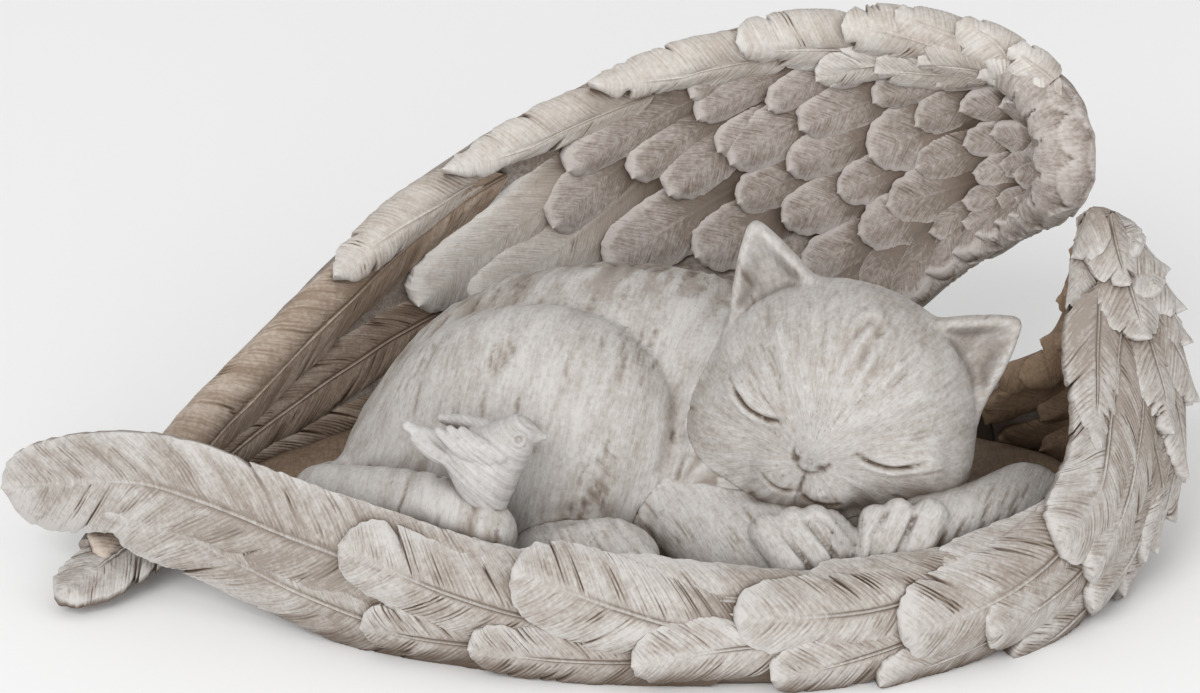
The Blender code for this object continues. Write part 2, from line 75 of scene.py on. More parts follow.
# Stations of the front wing, from its end behind the cat's head, over the shoulder, to its tip
FRONT_RIM = (
    (86, 27, 17), (103, 16, 33), (107, 6, 57), (109, -3, 73.5), (105.5, -14, 58.5), (104, -27, 41.5),
    (99, -43, 28.5), (76, -60, 23), (48, -66.5, 21.5), (8, -67.5, 25), (-30, -60.5, 28), (-62, -49, 31),
    (-93, -34, 33), (-119, -20, 26),
)
FRONT_MIDDLE = (
    (90, 30, 6), (108, 22, 15), (120, 10, 33), (124, -4, 38), (120.5, -18, 31), (113, -32, 23),
    (101, -47, 15.5), (79, -63.5, 12.5), (48, -72, 11.5), (6, -72.5, 14), (-31, -65, 16), (-61, -52, 20.5),
    (-93, -35, 26), (-119, -20, 21.5),
)
FRONT_FOOT = (
    (86, 29, -2), (102, 19, -2), (113, 5, 1), (116, -12, 2), (112, -25, 2), (104, -37, 1),
    (94, -49, -1), (74, -60, -2), (46, -70, -2), (4, -70, -1), (-31, -63, 3), (-58, -53, 8),
    (-93, -36, 18.5), (-119, -20, 16.5),
)

# Plan of the nest that joins the wings under the cat
NEST_PLAN = (
    (84, 26), (62, 39), (30, 44), (-10, 46), (-45, 38), (-75, 16), (-90, -6), (-80, -28), (-56, -48),
    (-30, -60), (5, -68), (45, -69), (75, -59), (98, -46), (111, -28), (113, -8), (104, 14),
)

# Feathers on the back wing's inner face: root and tip as (along, across), then width
BACK_INNER_FEATHERS = (
    ((0.60, 0.80), (0.86, 0.86), 17), ((0.55, 0.50), (0.92, 0.62), 17),
    ((0.53, 0.74), (0.64, 0.84), 17), ((0.45, 0.76), (0.55, 0.82), 17), ((0.40, 0.78), (0.48, 0.84), 16),
    ((0.36, 0.84), (0.43, 0.88), 15), ((0.31, 0.85), (0.37, 0.88), 13),
    ((0.53, 0.22), (0.65, 0.36), 15), ((0.51, 0.36), (0.60, 0.50), 16), ((0.487, 0.25), (0.540, 0.34), 14.5),
    ((0.432, 0.46), (0.505, 0.53), 15), ((0.395, 0.52), (0.445, 0.58), 14.5), ((0.412, 0.27), (0.460, 0.38), 13),
    ((0.430, 0.10), (0.528, 0.16), 11), ((0.422, 0.20), (0.484, 0.28), 11), ((0.379, 0.06), (0.440, 0.09), 6.5),
    ((0.366, 0.11), (0.437, 0.17), 9.5), ((0.378, 0.26), (0.424, 0.30), 10), ((0.364, 0.46), (0.413, 0.47), 11),
    ((0.316, 0.72), (0.368, 0.70), 11), ((0.355, 0.28), (0.416, 0.35), 14), ((0.327, 0.55), (0.381, 0.56), 12),
    ((0.312, 0.39), (0.374, 0.42), 11), ((0.320, 0.13), (0.384, 0.21), 9), ((0.294, 0.53), (0.337, 0.54), 11),
    ((0.268, 0.71), (0.321, 0.70), 14), ((0.295, 0.22), (0.362, 0.30), 12.5), ((0.269, 0.05), (0.333, 0.16), 8.5),
    ((0.252, 0.39), (0.310, 0.45), 16), ((0.235, 0.66), (0.297, 0.65), 13.5), ((0.230, 0.15), (0.301, 0.24), 9),
    ((0.224, 0.02), (0.284, 0.09), 8), ((0.221, 0.28), (0.268, 0.35), 10.5), ((0.218, 0.52), (0.271, 0.54), 12.5),
    ((0.215, 0.80), (0.253, 0.84), 10), ((0.192, 0.06), (0.245, 0.15), 7.5), ((0.176, 0.25), (0.228, 0.27), 8.8),
    ((0.176, 0.45), (0.227, 0.47), 8.8), ((0.155, 0.65), (0.214, 0.64), 9.0), ((0.168, 0.79), (0.222, 0.77), 8.6),
    ((0.160, 0.92), (0.217, 0.88), 8), ((0.116, 0.49), (0.196, 0.41), 8.0), ((0.107, 0.68), (0.178, 0.63), 7.0),
    ((0.110, 0.88), (0.168, 0.85), 7.5), ((0.120, 0.28), (0.178, 0.20), 8.5), ((0.063, 0.72), (0.140, 0.73), 7.0),
    ((0.060, 0.90), (0.118, 0.90), 7.5), ((0.050, 0.50), (0.118, 0.55), 8.5), ((0.040, 0.30), (0.110, 0.33), 8.5),
    ((0.012, 0.86), (0.062, 0.88), 8), ((0.012, 0.62), (0.060, 0.66), 8.5),
    ((0.325, 0.78), (0.352, 0.97), 13), ((0.29, 0.78), (0.318, 0.98), 12), ((0.255, 0.80), (0.284, 1.0), 11),
    ((0.225, 0.82), (0.25, 1.0), 10), ((0.19, 0.82), (0.22, 1.01), 9), ((0.155, 0.84), (0.188, 1.01), 9),
    ((0.12, 0.84), (0.152, 1.01), 8), ((0.09, 0.84), (0.118, 1.01), 8), ((0.055, 0.84), (0.082, 1.01), 7.5),
    ((0.025, 0.84), (0.047, 1.0), 7),
)
# Feathers folded over the back wing's rim: tip along, tip and root across in centimetres from the top,
# then length, width and how pointed
BACK_RIM_FEATHERS = (
    (0.120, 0.45, 0.3, 11, 12, 0.0), (0.150, 1.10, 0.9, 12, 11, 0.0), (0.165, 0.10, 0.0, 13, 14, 0.0),
    (0.198, 0.75, 0.6, 16, 14, 0.0), (0.225, 0.05, 0.2, 18, 15, 0.1), (0.254, 0.85, 0.7, 20, 15, 0.1),
    (0.272, 0.05, 0.2, 20, 14, 0.1), (0.292, 1.35, 1.1, 22, 13, 0.0), (0.313, 0.30, 0.5, 24, 16, 0.2),
    (0.343, 1.60, 1.1, 22, 11, 0.1), (0.402, 0.25, 0.8, 34, 17, 0.6), (0.504, 0.15, 0.8, 48, 16, 1.0),
    (0.607, 0.15, 0.8, 48, 15, 1.0), (0.704, 0.15, 0.7, 46, 14, 0.9),
)
# Feathers on the front wing's outer face: root and tip as (along, across), then width
FRONT_OUTER_FEATHERS = (
    ((0.66, 0.74), (0.955, 0.90), 20), ((0.70, 0.47), (1.022, 0.50), 23),
    ((0.764, 0.80), (0.815, 0.86), 12.5), ((0.73, 0.47), (0.822, 0.25), 15.5),
    ((0.69, 0.70), (0.757, 0.76), 12.5), ((0.665, 0.48), (0.741, 0.16), 18),
    ((0.62, 0.56), (0.689, 0.70), 13.5), ((0.575, 0.17), (0.655, 0.32), 14),
    ((0.58, 0.55), (0.639, 0.75), 13), ((0.48, 0.14), (0.587, 0.44), 17),
    ((0.52, 0.70), (0.594, 0.83), 12.5), ((0.465, 0.42), (0.54, 0.58), 15),
    ((0.43, 0.80), (0.51, 0.92), 13), ((0.36, 0.62), (0.455, 0.76), 15),
    ((0.357, 0.12), (0.493, 0.17), 18), ((0.363, 0.31), (0.47, 0.50), 13),
    ((0.30, 0.86), (0.38, 0.92), 14), ((0.30, 0.62), (0.37, 0.80), 12),
)
# Feathers that lie under those, along the front wing's rim
FRONT_UNDER_FEATHERS = (
    ((0.62, 0.20), (0.712, 0.17), 15), ((0.53, 0.16), (0.63, 0.12), 15), ((0.45, 0.14), (0.56, 0.08), 15),
    ((0.68, 0.28), (0.79, 0.22), 14), ((0.60, 0.50), (0.72, 0.50), 15), ((0.52, 0.40), (0.625, 0.52), 15),
    ((0.42, 0.50), (0.50, 0.66), 15),
)
# Scales on the front wing's shoulder: root and tip, width and how pointed
SHOULDER_FEATHERS = (
    ((0.345, 0.48), (0.338, 0.84), 12, 0.5), ((0.30, 0.00), (0.425, 0.00), 15, 0.9),
    ((0.285, 0.36), (0.302, 0.66), 12, 0.6), ((0.275, 0.14), (0.332, 0.42), 12, 0.6),
    ((0.262, 0.24), (0.248, 0.55), 12, 0.6), ((0.262, 0.04), (0.300, 0.17), 15, 0.1),
    ((0.245, 0.20), (0.240, 0.39), 10, 0.3), ((0.243, 0.07), (0.231, 0.31), 11, 0.6),
    ((0.246, -0.02), (0.278, 0.06), 11, 0.0), ((0.226, 0.02), (0.230, 0.19), 12, 0.1),
    ((0.27, 0.58), (0.27, 0.86), 13, 0.3),
    ((0.235, 0.55), (0.235, 0.80), 12, 0.3), ((0.21, 0.36), (0.205, 0.62), 12, 0.4),
    ((0.205, 0.14), (0.195, 0.38), 11, 0.4), ((0.20, 0.0), (0.19, 0.17), 10, 0.2),
)
# Scales folded over the front wing's shoulder: along, across in centimetres from the top, length, width
SHOULDER_CAP_FEATHERS = ((0.280, -0.1, 13, 12),)
# Scales that lie on the very top of the front wing's shoulder: root, tip, the way they face and width
SHOULDER_TOP_FEATHERS = (
    ((110.5, -1, 69), (119.5, -9.5, 60), (0.55, -0.65, 0.55), 15),
    ((105, 3, 72.5), (115.5, -7.5, 69), (0.25, -0.5, 0.85), 14),
    ((103.5, -2, 73), (116.5, -5, 70.5), (0.1, -0.75, 0.65), 9),
    ((105.5, -3.5, 74.5), (102.5, -17, 56), (-0.35, -0.9, 0.3), 6.5),
)
# Rounded edge of the back wing's shoulder, from its rim over its end to its foot
BACK_SHOULDER_EDGE = (
    ((88, 41.5, 95), 4.0), ((96.5, 33.5, 90.5), 5.4), ((101, 26.5, 84.5), 6.2), ((102, 22.5, 77), 6.4),
    ((100.5, 22.5, 70), 5.4), ((94.5, 28, 61.5), 3.2), ((85.5, 34, 52.5), 2.2), ((75.5, 38, 42), 2.0),
    ((66.5, 41, 32.5), 1.8),
)
# Feathers on the front wing's face behind the cat's head: root and tip, then width
FRONT_BEHIND_FEATHERS = (
    ((0.10, 0.10), (0.004, 0.05), 9), ((0.10, 0.45), (0.008, 0.45), 9), ((0.10, 0.80), (0.01, 0.85), 9),
    ((0.14, 0.30), (0.045, 0.22), 10), ((0.14, 0.66), (0.050, 0.64), 11), ((0.16, 0.05), (0.085, -0.05), 9),
    ((0.17, 0.42), (0.095, 0.42), 11), ((0.17, 0.80), (0.10, 0.86), 11), ((0.19, 0.20), (0.128, 0.16), 10),
    ((0.20, 0.60), (0.135, 0.64), 12), ((0.20, 0.02), (0.150, -0.06), 9), ((0.22, 0.36), (0.165, 0.38), 11),
    ((0.22, 0.12), (0.180, 0.10), 9), ((0.25, 0.76), (0.19, 0.84), 12), ((0.235, 0.00), (0.202, -0.05), 9),
    ((0.25, 0.50), (0.20, 0.56), 12), ((0.25, 0.26), (0.21, 0.26), 10),
)

# Feathers folded over the rim behind the cat's head: along, across in centimetres, length and width
BEHIND_RIM_FEATHERS = (
    (0.185, -0.1, 12, 8), (0.163, 0.2, 12, 9), (0.140, -0.2, 12, 9), (0.117, 0.2, 12, 10), (0.094, -0.2, 13, 10),
    (0.070, 0.2, 13, 10), (0.046, -0.2, 13, 10), (0.024, 0.1, 12, 10),
)

# How much wider and how much further back the overlapping feathers are made than they show
INNER_WIDER, INNER_DRAWN = 1.22, 1.55
OUTER_DRAWN = 1.5
SCALE_WIDER = 1.15
# Long feathers that come first in the lists, and the left ones of the back wing, which get the paler stone that paints
# the light on that side
BACK_LONG = 2
FRONT_LONG = 2
BACK_LEFT = (2, 3, 7, 8)
# Long feather folded over the rim at the back wing's left: root, tip and width
BACK_EDGE_FEATHER = ((0.58, 1.0), (0.965, 0.7), 19)
# Single feather at the back wing's tip: root, tip, the way it faces and width
BACK_TIP_FEATHER = ((-87, -9, 12.5), (-115.5, -43.5, 4.5), (-0.25, -0.6, 0.75), 16)
# Roll of the rims that feathers fold over: thick and thin on the back wing, then on the front wing
THICK_RIM, THIN_RIM, CAP_RIM = 4.2, 3.0, 4.0
THICK_RIM_END = 0.35
# Share of its width by which the front wing's rim sinks, and where that starts and ends
FRONT_SINKING = (0.17, 0.30, 0.46)

# Rows of small feathers on the hidden faces: name, finish and the values of their node tree
HIDDEN_ROWS = (
    ("back_wing_outer_feathers", "outer_feather_stone", dict(
        Rows=13, Feathers=6, First_Row=0.17, Last_Row=0.97, Length=0.13, Last_Length=0.2, Width=0.2, Wander=0.008,
        Seed=4)),
    # The front wing's inner face gets the darker nest stone that paints its shade
    ("front_wing_inner_feathers", "shaded_nest_stone", dict(
        Rows=8, Feathers=3, First_Row=0.36, Last_Row=0.9, Length=0.12, Last_Length=0.15, Width=0.36, Wander=0.008,
        Seed=9)),
    ("front_wing_hidden_feathers", "outer_feather_stone", dict(
        Rows=5, Feathers=4, First_Row=0.05, Last_Row=0.2, Length=0.075, Last_Length=0.08, Width=0.3, Wander=0.006,
        Seed=14)),
)

# Cat's trunk and limbs: centre and half sizes of each mass
TRUNK = (
    ((4, 10, 19), (54, 36, 37)), ((-27, -2, 11), (31, 28, 25)), ((38, 8, 18), (36, 30, 30)),
    ((30, -14, 15), (26, 27, 25)), ((38, -8, 32), (22, 20, 20)), ((56, -36, 11), (26, 17, 15)),
)
HAUNCH = ((-12.5, -12, 24.5), (34, 26, 32.5))
HAUNCH_TURN = -14.0
LEG_CREASE = 4.0
HIND_FOOT = ((1, -51, 18.5), (11.5, 8.5, 8))
HIND_SHIN = ((-6, -42, 12), (14, 9, 8.5))
TAIL = (
    ((-50, 2, 8), 8), ((-60, -16, 14), 8), ((-52, -31, 21.5), 7.6), ((-39, -43, 26.5), 7.4),
    ((-29, -50, 26.5), 7.4), ((-24.5, -53, 25), 7.2),
)
LEFT_FORELEG = (((18, -28, 15), 13), ((30, -42, 16), 11), ((39, -48.5, 19.5), 9))
RIGHT_FORELEG = (((92, -22, 15), 10), ((82, -36, 18.5), 9.5), ((69, -47, 21), 9.2))
# Toes: root and tip, then radius
PAW_TOES = (
    ((35, -52.5, 25), (40.5, -60, 19.8), 3.9), ((40.5, -51.5, 26.5), (46.5, -60, 21), 3.7),
    ((45, -51, 27), (51.5, -58.5, 22.5), 3.4), ((48.5, -50, 26), (54, -56, 23.5), 2.8),
    ((57.5, -52, 27.5), (54.8, -60, 20.5), 3.4), ((62.5, -51.5, 28.5), (59.3, -60.5, 20.5), 3.6),
    ((69, -51, 27.5), (65.5, -60, 20.3), 4.2),
)
FOOT_TOES = (
    ((-7, -51, 21.5), (-3, -60, 18.5), 3.8), ((-1, -51, 23), (4.3, -60, 19.5), 3.9),
    ((5, -51, 22), (10.5, -59, 19), 3.8),
)

# Head: centre, the way that it looks and leans in degrees, and its masses in its own axes
HEAD_CENTRE = np.array((53.2, -20, 40))
HEAD_YAW = 9.5
HEAD_PITCH = 15.0
HEAD_LEAN = 18.5
HEAD_MASSES = (
    ((-0.8, -0.8, -2), (29.2, 26, 25), 8), ((-14.5, -13, 5), (15.5, 14.5, 15), 8), ((15, -10, 4), (15, 13, 15), 8),
    ((0, 3, 9), (17, 18, 15), 8), ((0, -11, 17), (10, 9, 9), 7), ((0, -4, 21), (4.4, 8.5, 5.6), 5),
    ((-15, -3.4, 15.5), (9, 6, 6.2), 4), ((15, -3.4, 15.5), (9, 6, 6.2), 4),
    ((-1.4, -20.0, 17.0), (10, 5.4, 6.6), 4.5), ((-6.2, -14.2, 20.9), (6.0, 4.8, 5.0), 3.4),
    ((2.8, -14.2, 20.9), (6.0, 4.8, 5.0), 2.0), ((-1.8, -9.4, 24.7), (4.2, 2.9, 2.5), 2.6),
)
LEFT_EAR = ((-31, 6, -4), (-15, 20.5, -2), (-32.5, 27, -2))
RIGHT_EAR = ((8, 22.5, 0.5), (27.5, 9.5, -3), (27, 29, -1.5))

# Carved lines of the face as (right, up) from its middle, which stands a little left in the head's axes
FACE_MIDDLE = -1.8
EYE_LINE = ((8.4, -4.4), (12, -5.5), (16.2, -5.3), (19.6, -3.7), (22.6, -1.9))
MOUTH_LINE = ((0.2, -16.4), (2.2, -17.8), (5.0, -18.1), (8.0, -17.2), (10.0, -15.8))
LIP_LINE = ((0, -12.0), (0.2, -16.6))
NOSE_LINE = ((4.3, -8.4), (3.7, -9.9), (2.3, -11.3), (0.5, -12.2))
BROW_RIDGE = ((5.2, 1.0), (9.0, 3.6), (13.4, 7.0), (16.6, 11.0))
FOREHEAD_LOOPS = (
    ((-2.4, 18.5), (-1.3, 21.5), (0.8, 22.6), (3.2, 21.6)), ((5.0, 20.5), (4.6, 17.0), (3.4, 13.5)),
    ((-1.0, 9.0), (-0.4, 13.0), (0.6, 17.0), (1.4, 20.0)), ((3.0, 10.0), (3.8, 14.0), (3.2, 18.0)),
    ((-5.5, 12.0), (-6.5, 17.0), (-8.5, 21.0)), ((8.5, 11.0), (10.0, 15.0), (12.0, 19.0)),
)
# Carved lines between the toes, as the front view shows them: right and up of the statue's middle
TOE_LINES = (
    ((40.2, -41.2), (42.2, -43.7), (44.9, -47.0), (46.2, -49.0)),
    ((45.5, -38.4), (47.7, -41.4), (50.5, -44.8), (51.7, -47.6)), ((47.2, -37.3), (50.0, -39.2), (52.7, -42.8)),
    ((62.5, -36.4), (60.0, -40.9), (59.1, -47.0)), ((68.6, -37.3), (66.7, -41.4), (64.4, -46.5)),
    ((-3.1, -38.2), (-0.9, -42.7), (1.3, -46.0)), ((3.0, -38.2), (6.4, -42.7), (9.1, -47.1)),
)

# Bird: masses along its own body, and its tail, wings, beak and legs
BIRD_MASSES = (
    ((-24.5, -47.5, 40.5), (8.4, 6.4, 5.6), 2), ((-19.4, -48.2, 43.6), (5.4, 5, 5), 3),
    ((-17.4, -48.6, 46.2), (4.4, 4.2, 3.9), 1.6), ((-24, -49.0, 36.5), (6.2, 5.4, 6.0), 4),
)
BIRD_BEAK = (((-14.5, -49, 46.0), 2.0), ((-11.6, -49.3, 45.6), 0.7))
BIRD_TAILS = (
    (((-30, -47, 41.5), 2.8), ((-35, -47, 44), 2.0), ((-40.2, -47, 47.0), 1.2)),
    (((-30, -48, 40.0), 2.8), ((-35, -48.5, 42.3), 2.0), ((-38.8, -48.6, 44.8), 1.1)),
)
BIRD_WINGS = (
    (((-24, -52.4, 42.5), 2.0), ((-29, -52.4, 44.5), 1.7), ((-33.6, -50.5, 47.6), 0.9)),
    (((-22.5, -52.6, 42.8), 2.0), ((-27, -52.6, 45), 1.7), ((-31.2, -50.6, 48.0), 0.9)),
    (((-21, -52.6, 43), 2.0), ((-25, -52.4, 45.2), 1.7), ((-28.6, -50.4, 47.8), 0.9)),
    (((-21, -43, 43), 2.2), ((-27, -42.6, 45), 2.2), ((-33, -44, 47.5), 1.0)),
)
BIRD_FEET = (((-24, -49.6, 35), 5.2), ((-24.2, -50.5, 30.5), 4.6))


# Skins: lowest and highest corner of the room round each form, and the fineness of its faces
HEAD_SKIN = ((14, -58, 8), (96, 14, 78), 0.49)
BODY_SKIN = ((-76, -68, 4), (104, 54, 64), 0.95)
PAWS_SKIN = ((-34, -66, 4), (106, -12, 36), 0.6)
BIRD_SKIN = ((-46, -58, 26), (-6, -36, 52), 0.36)
SHOULDER_EDGE_SKIN = ((58, 10, 18), (114, 52, 106), 0.7)

# Finishes, with colours as a screen shows them: rubbed, body and hollows, the hollow colour partly real wash and partly
# painted shade, then how far it is rubbed and how close together and how short its strokes are
BROWN = (94, 79, 66)
FINISHES = {
    "cat_stone": ((196, 193, 190), (160, 152, 144), BROWN, 0.6, 0.8, 0.4),
    "bird_stone": ((196, 194, 193), (164, 158, 152), BROWN, 0.6, 1.0, 0.25),
    # Darker copy of the stone that paints the shade on the back wing's inner face
    "shaded_inner_feather_stone": ((190, 182, 177), (130, 118, 108), (72, 58, 47), 0.42, 1.0, 0.25),
    "outer_feather_stone": ((194, 190, 186), (148, 138, 129), BROWN, 0.52, 1.0, 0.25),
    # Paler copy of the stone that paints the light on the back wing's rim and on its left feathers
    "lit_rim_feather_stone": ((208, 204, 199), (176, 166, 156), BROWN, 0.55, 1.0, 0.25),
    # Darker brown copy of the stone that paints the shade behind the cat's head
    "shaded_behind_feather_stone": ((164, 141, 118), (126, 104, 84), (84, 64, 48), 0.42, 1.0, 0.25),
    # Darker brown copy of the stone that paints the shade in the nest and on the front wing's inner face
    "shaded_nest_stone": ((152, 134, 116), (118, 99, 82), (76, 58, 44), 0.45, 1.0, 0.25),
    "flight_feather_stone": ((194, 181, 168), (146, 128, 112), (84, 66, 52), 0.5, 1.0, 0.25),
}
STROKE_DEPTH = 0.3
GRAIN_DEPTH = 0.10
# Reach of the occlusion that paints shade, with the wash, into the hollows
SHELTER_REACH = 0.009


def smooth_line(points):
    """Smooth curve through the points, at equal steps of its parameter; straight past both ends."""
    points = np.array(points, float)
    slopes = np.gradient(points, axis=0)
    last = len(points) - 1

    def at(share):
        place = np.asarray(share, float) * last
        inside = np.clip(place, 0, last)
        index = np.minimum(inside.astype(int), last - 1)
        t = (inside - index)[..., None]
        start, end = points[index], points[index + 1]
        leave, arrive = slopes[index], slopes[index + 1]
        curve = (
            start * (2 * t**3 - 3 * t**2 + 1) + leave * (t**3 - 2 * t**2 + t)
            + end * (3 * t**2 - 2 * t**3) + arrive * (t**3 - t**2)
        )
        end_slope = np.where((place > last)[..., None], slopes[-1], slopes[0])
        return curve + (place - inside)[..., None] * end_slope

    return at


def wing_sheet(rim, middle, foot):
    """Bent sheet of a wing: along from shoulder to tip, across from rim to foot."""
    lines = [smooth_line(line) for line in (rim, middle, foot)]

    def at(along, across):
        top, mid, low = (line(along) for line in lines)
        beyond = np.asarray(across, float)[..., None]
        v = np.clip(beyond, 0, 1)
        place = top * (1 - v) * (1 - 2 * v) + mid * 4 * v * (1 - v) + low * v * (2 * v - 1)
        slope = top * (4 * v - 3) + mid * (4 - 8 * v) + low * (4 * v - 1)
        return place + (beyond - v) * slope

    return at


def slopes_and_normal(sheet, along, across):
    """Slopes of a sheet both ways and its unit normal, which faces -Y on the front side."""
    step = 0.004
    slope_along = (sheet(along + step, across) - sheet(along - step, across)) / (2 * step)
    slope_across = (sheet(along, across + step) - sheet(along, across - step)) / (2 * step)
    normal = np.cross(slope_along, slope_across)
    normal /= np.linalg.norm(normal, axis=-1, keepdims=True)
    return slope_along, slope_across, normal


def over_rim(sheet, radius):
    """Sheet folded over a wing's rim; across is in centimetres from the top, more towards the cat."""
    quarter = math.pi / 2 * radius

    def at(along, across):
        along, across = np.broadcast_arrays(np.asarray(along, float), np.asarray(across, float) * 10)
        zero = np.zeros_like(along)
        _, down, normal = slopes_and_normal(sheet, along, zero)
        steep = np.linalg.norm(down, axis=-1)
        down = down / steep[..., None]
        past = np.maximum(np.abs(across) - quarter, 0)
        share = past / steep
        _, _, low_normal = slopes_and_normal(sheet, along, share)
        way = np.sign(across)[..., None]
        angle = (np.clip(across, -quarter, quarter) / radius)[..., None]
        top = sheet(along, zero) + radius * (np.sin(angle) * normal - np.cos(angle) * down)
        return np.where((past > 0)[..., None], sheet(along, share) + way * radius * low_normal, top)

    return at


def sunk(sheet, share, first, last):
    """Wing sheet whose rim sinks by a share of its width, from one place along it to the next."""
    def at(along, across):
        along, across = np.broadcast_arrays(np.asarray(along, float), np.asarray(across, float))
        drop = share * eased(first, last, along)
        return sheet(along, drop + across * (1 - drop))

    return at


def flat_blade(start, end, facing):
    """Flat sheet for one feather that stands free, from its root to its tip."""
    start, end, facing = (np.array(value, float) for value in (start, end, facing))
    run = end - start
    side = np.cross(facing, run)
    side *= 20 / np.linalg.norm(side)

    def at(along, across):
        along, across = np.broadcast_arrays(np.asarray(along, float), np.asarray(across, float))
        return start + along[..., None] * run + across[..., None] * side

    return at


def eased(low, high, value):
    """Smooth step from 0 at low to 1 at high."""
    t = np.clip((value - low) / (high - low), 0, 1)
    return t * t * (3 - 2 * t)


def scattered(cells, seed):
    """Even random numbers from 0 to 1, one for each row of whole numbers."""
    cells = cells.astype(np.int64).astype(np.uint32)
    mixed = np.full(cells.shape[:-1], seed * 2654435761 % 4294967296, np.uint32)
    for axis in range(cells.shape[-1]):
        mixed = (mixed ^ cells[..., axis]) * np.uint32(2246822519)
        mixed ^= mixed >> np.uint32(15)
        mixed *= np.uint32(3266489917)
        mixed ^= mixed >> np.uint32(13)
    return mixed.astype(float) / 4294967295.0


def ripple(places, seed):
    """Smooth random field from 0 to 1 over places of any dimension."""
    base = np.floor(places)
    part = places - base
    part = part * part * (3 - 2 * part)
    total = 0.0
    dimensions = places.shape[-1]
    for corner in range(2**dimensions):
        offset = np.array([(corner >> axis) & 1 for axis in range(dimensions)])
        weight = np.prod(np.where(offset == 1, part, 1 - part), axis=-1)
        total = total + weight * scattered(base + offset, seed)
    return total


def piece(name, points, faces, values=None, smooth_angle=55):
    """A mesh object at the origin from points in millimetres, with values kept on its points."""
    mesh = bpy.data.meshes.new(name)
    placed = (np.asarray(points) - PLAN_MIDDLE) * MM
    placed[:, 2] = np.maximum(placed[:, 2], 0)
    mesh.from_pydata(placed.tolist(), [], [list(map(int, face)) for face in faces])
    mesh.validate()
    for key, data in (values or {}).items():
        data = np.asarray(data, np.float32)
        kind, field = ("FLOAT", "value") if data.ndim == 1 else ("FLOAT_VECTOR", "vector")
        layer = mesh.attributes.new(key, kind, "POINT")
        layer.data.foreach_set(field, data.ravel())
    mesh.shade_smooth()
    mesh.set_sharp_from_angle(angle=math.radians(smooth_angle))
    thing = bpy.data.objects.new(name, mesh)
    bpy.context.collection.objects.link(thing)
    return thing


def ring_faces(rings, count, first=0):
    """Quads of a closed tube of rings, with a cap on both ends."""
    r = np.arange(rings - 1)[:, None]
    k = np.arange(count)[None, :]
    a = r * count + k
    b = r * count + (k + 1) % count
    quads = np.stack([a, b, b + count, a + count], -1).reshape(-1, 4) + first
    start = (np.arange(count)[::-1] + first).tolist()
    end = (np.arange((rings - 1) * count, rings * count) + first).tolist()
    return quads.tolist() + [start, end]


# Forms of the cat, kept as fields that are negative inside

def egg(points, centre, half_sizes, axes=None):
    """Field of an egg-shaped mass."""
    offset = points - np.array(centre, float)
    if axes is not None:
        offset = offset @ axes
    scaled = offset / np.array(half_sizes, float)
    near = np.linalg.norm(scaled, axis=1)
    steep = np.linalg.norm(scaled / np.array(half_sizes, float), axis=1)
    return near * (near - 1) / np.maximum(steep, 1e-6)


def limb(points, line, steps=10):
    """Field of a limb through points with radii."""
    places = smooth_line([place for place, _ in line])(np.linspace(0, 1, steps + 1))
    sizes = smooth_line([(size,) for _, size in line])(np.linspace(0, 1, steps + 1))[:, 0]
    field = np.full(len(points), 1e3)
    for a, b, size_a, size_b in zip(places, places[1:], sizes, sizes[1:]):
        run = b - a
        share = np.clip((points - a) @ run / (run @ run), 0, 1)
        away = np.linalg.norm(points - a - share[:, None] * run, axis=1)
        field = np.minimum(field, away - size_a - share * (size_b - size_a))
    return field


def fillet(a, b, softness):
    """How much two fields swell where they meet."""
    h = np.maximum(softness - np.abs(a - b), 0) / softness
    return h * h * softness / 4


def blended(a, b, softness):
    """Two forms as one, with a soft crease between them."""
    return np.minimum(a, b) - fillet(a, b, softness)


def kept_within(a, b, softness):
    """What two forms share, with a soft edge."""
    return np.maximum(a, b) + fillet(a, b, softness)


def turned(degrees):
    """Axes turned about the vertical."""
    angle = math.radians(degrees)
    return np.array((
        (math.cos(angle), -math.sin(angle), 0), (math.sin(angle), math.cos(angle), 0), (0, 0, 1),
    ))


def head_axes():
    """Columns: the head's right as it faces the viewer, its up, and the way that it looks."""
    yaw, pitch, lean = (math.radians(angle) for angle in (HEAD_YAW, HEAD_PITCH, HEAD_LEAN))
    forward = np.array((-math.sin(yaw) * math.cos(pitch), -math.cos(yaw) * math.cos(pitch), math.sin(pitch)))
    level = np.cross((0, 0, 1), forward)
    level /= np.linalg.norm(level)
    upright = np.cross(forward, level)
    up = math.cos(lean) * upright + math.sin(lean) * level
    right = np.cross(up, forward)
    return np.column_stack([right, up, forward])


HEAD_AXES = head_axes()


def in_head_axes(points):
    """Places in the head's own axes."""
    return (points - HEAD_CENTRE) @ HEAD_AXES


def trunk_form(points):
    """Field of the cat's trunk, haunch and tail."""
    field = egg(points, *TRUNK[0])
    for mass in TRUNK[1:]:
        field = blended(field, egg(points, *mass), 8)
    haunch = egg(points, *HAUNCH, turned(HAUNCH_TURN))
    softness = 1.4 + 9 * eased(0, 30, -14 - points[:, 0])
    field = blended(field, haunch, softness)
    return blended(field, limb(points, TAIL, 16), 1.4)


def paw_form(points):
    """Field of the forelegs, the hind foot and their toes."""
    foot = blended(egg(points, *HIND_FOOT), egg(points, *HIND_SHIN), 5)
    for root, tip, radius in FOOT_TOES:
        foot = blended(foot, limb(points, ((root, radius), (tip, radius * 0.88)), 1), 0.9)
    legs = [limb(points, line) for line in (LEFT_FORELEG, RIGHT_FORELEG)]
    for index, (root, tip, radius) in enumerate(PAW_TOES):
        toe = limb(points, ((root, radius), (tip, radius * 0.88)), 1)
        legs[index > 3] = blended(legs[index > 3], toe, 0.8)
    return np.minimum(foot, np.minimum(*legs))


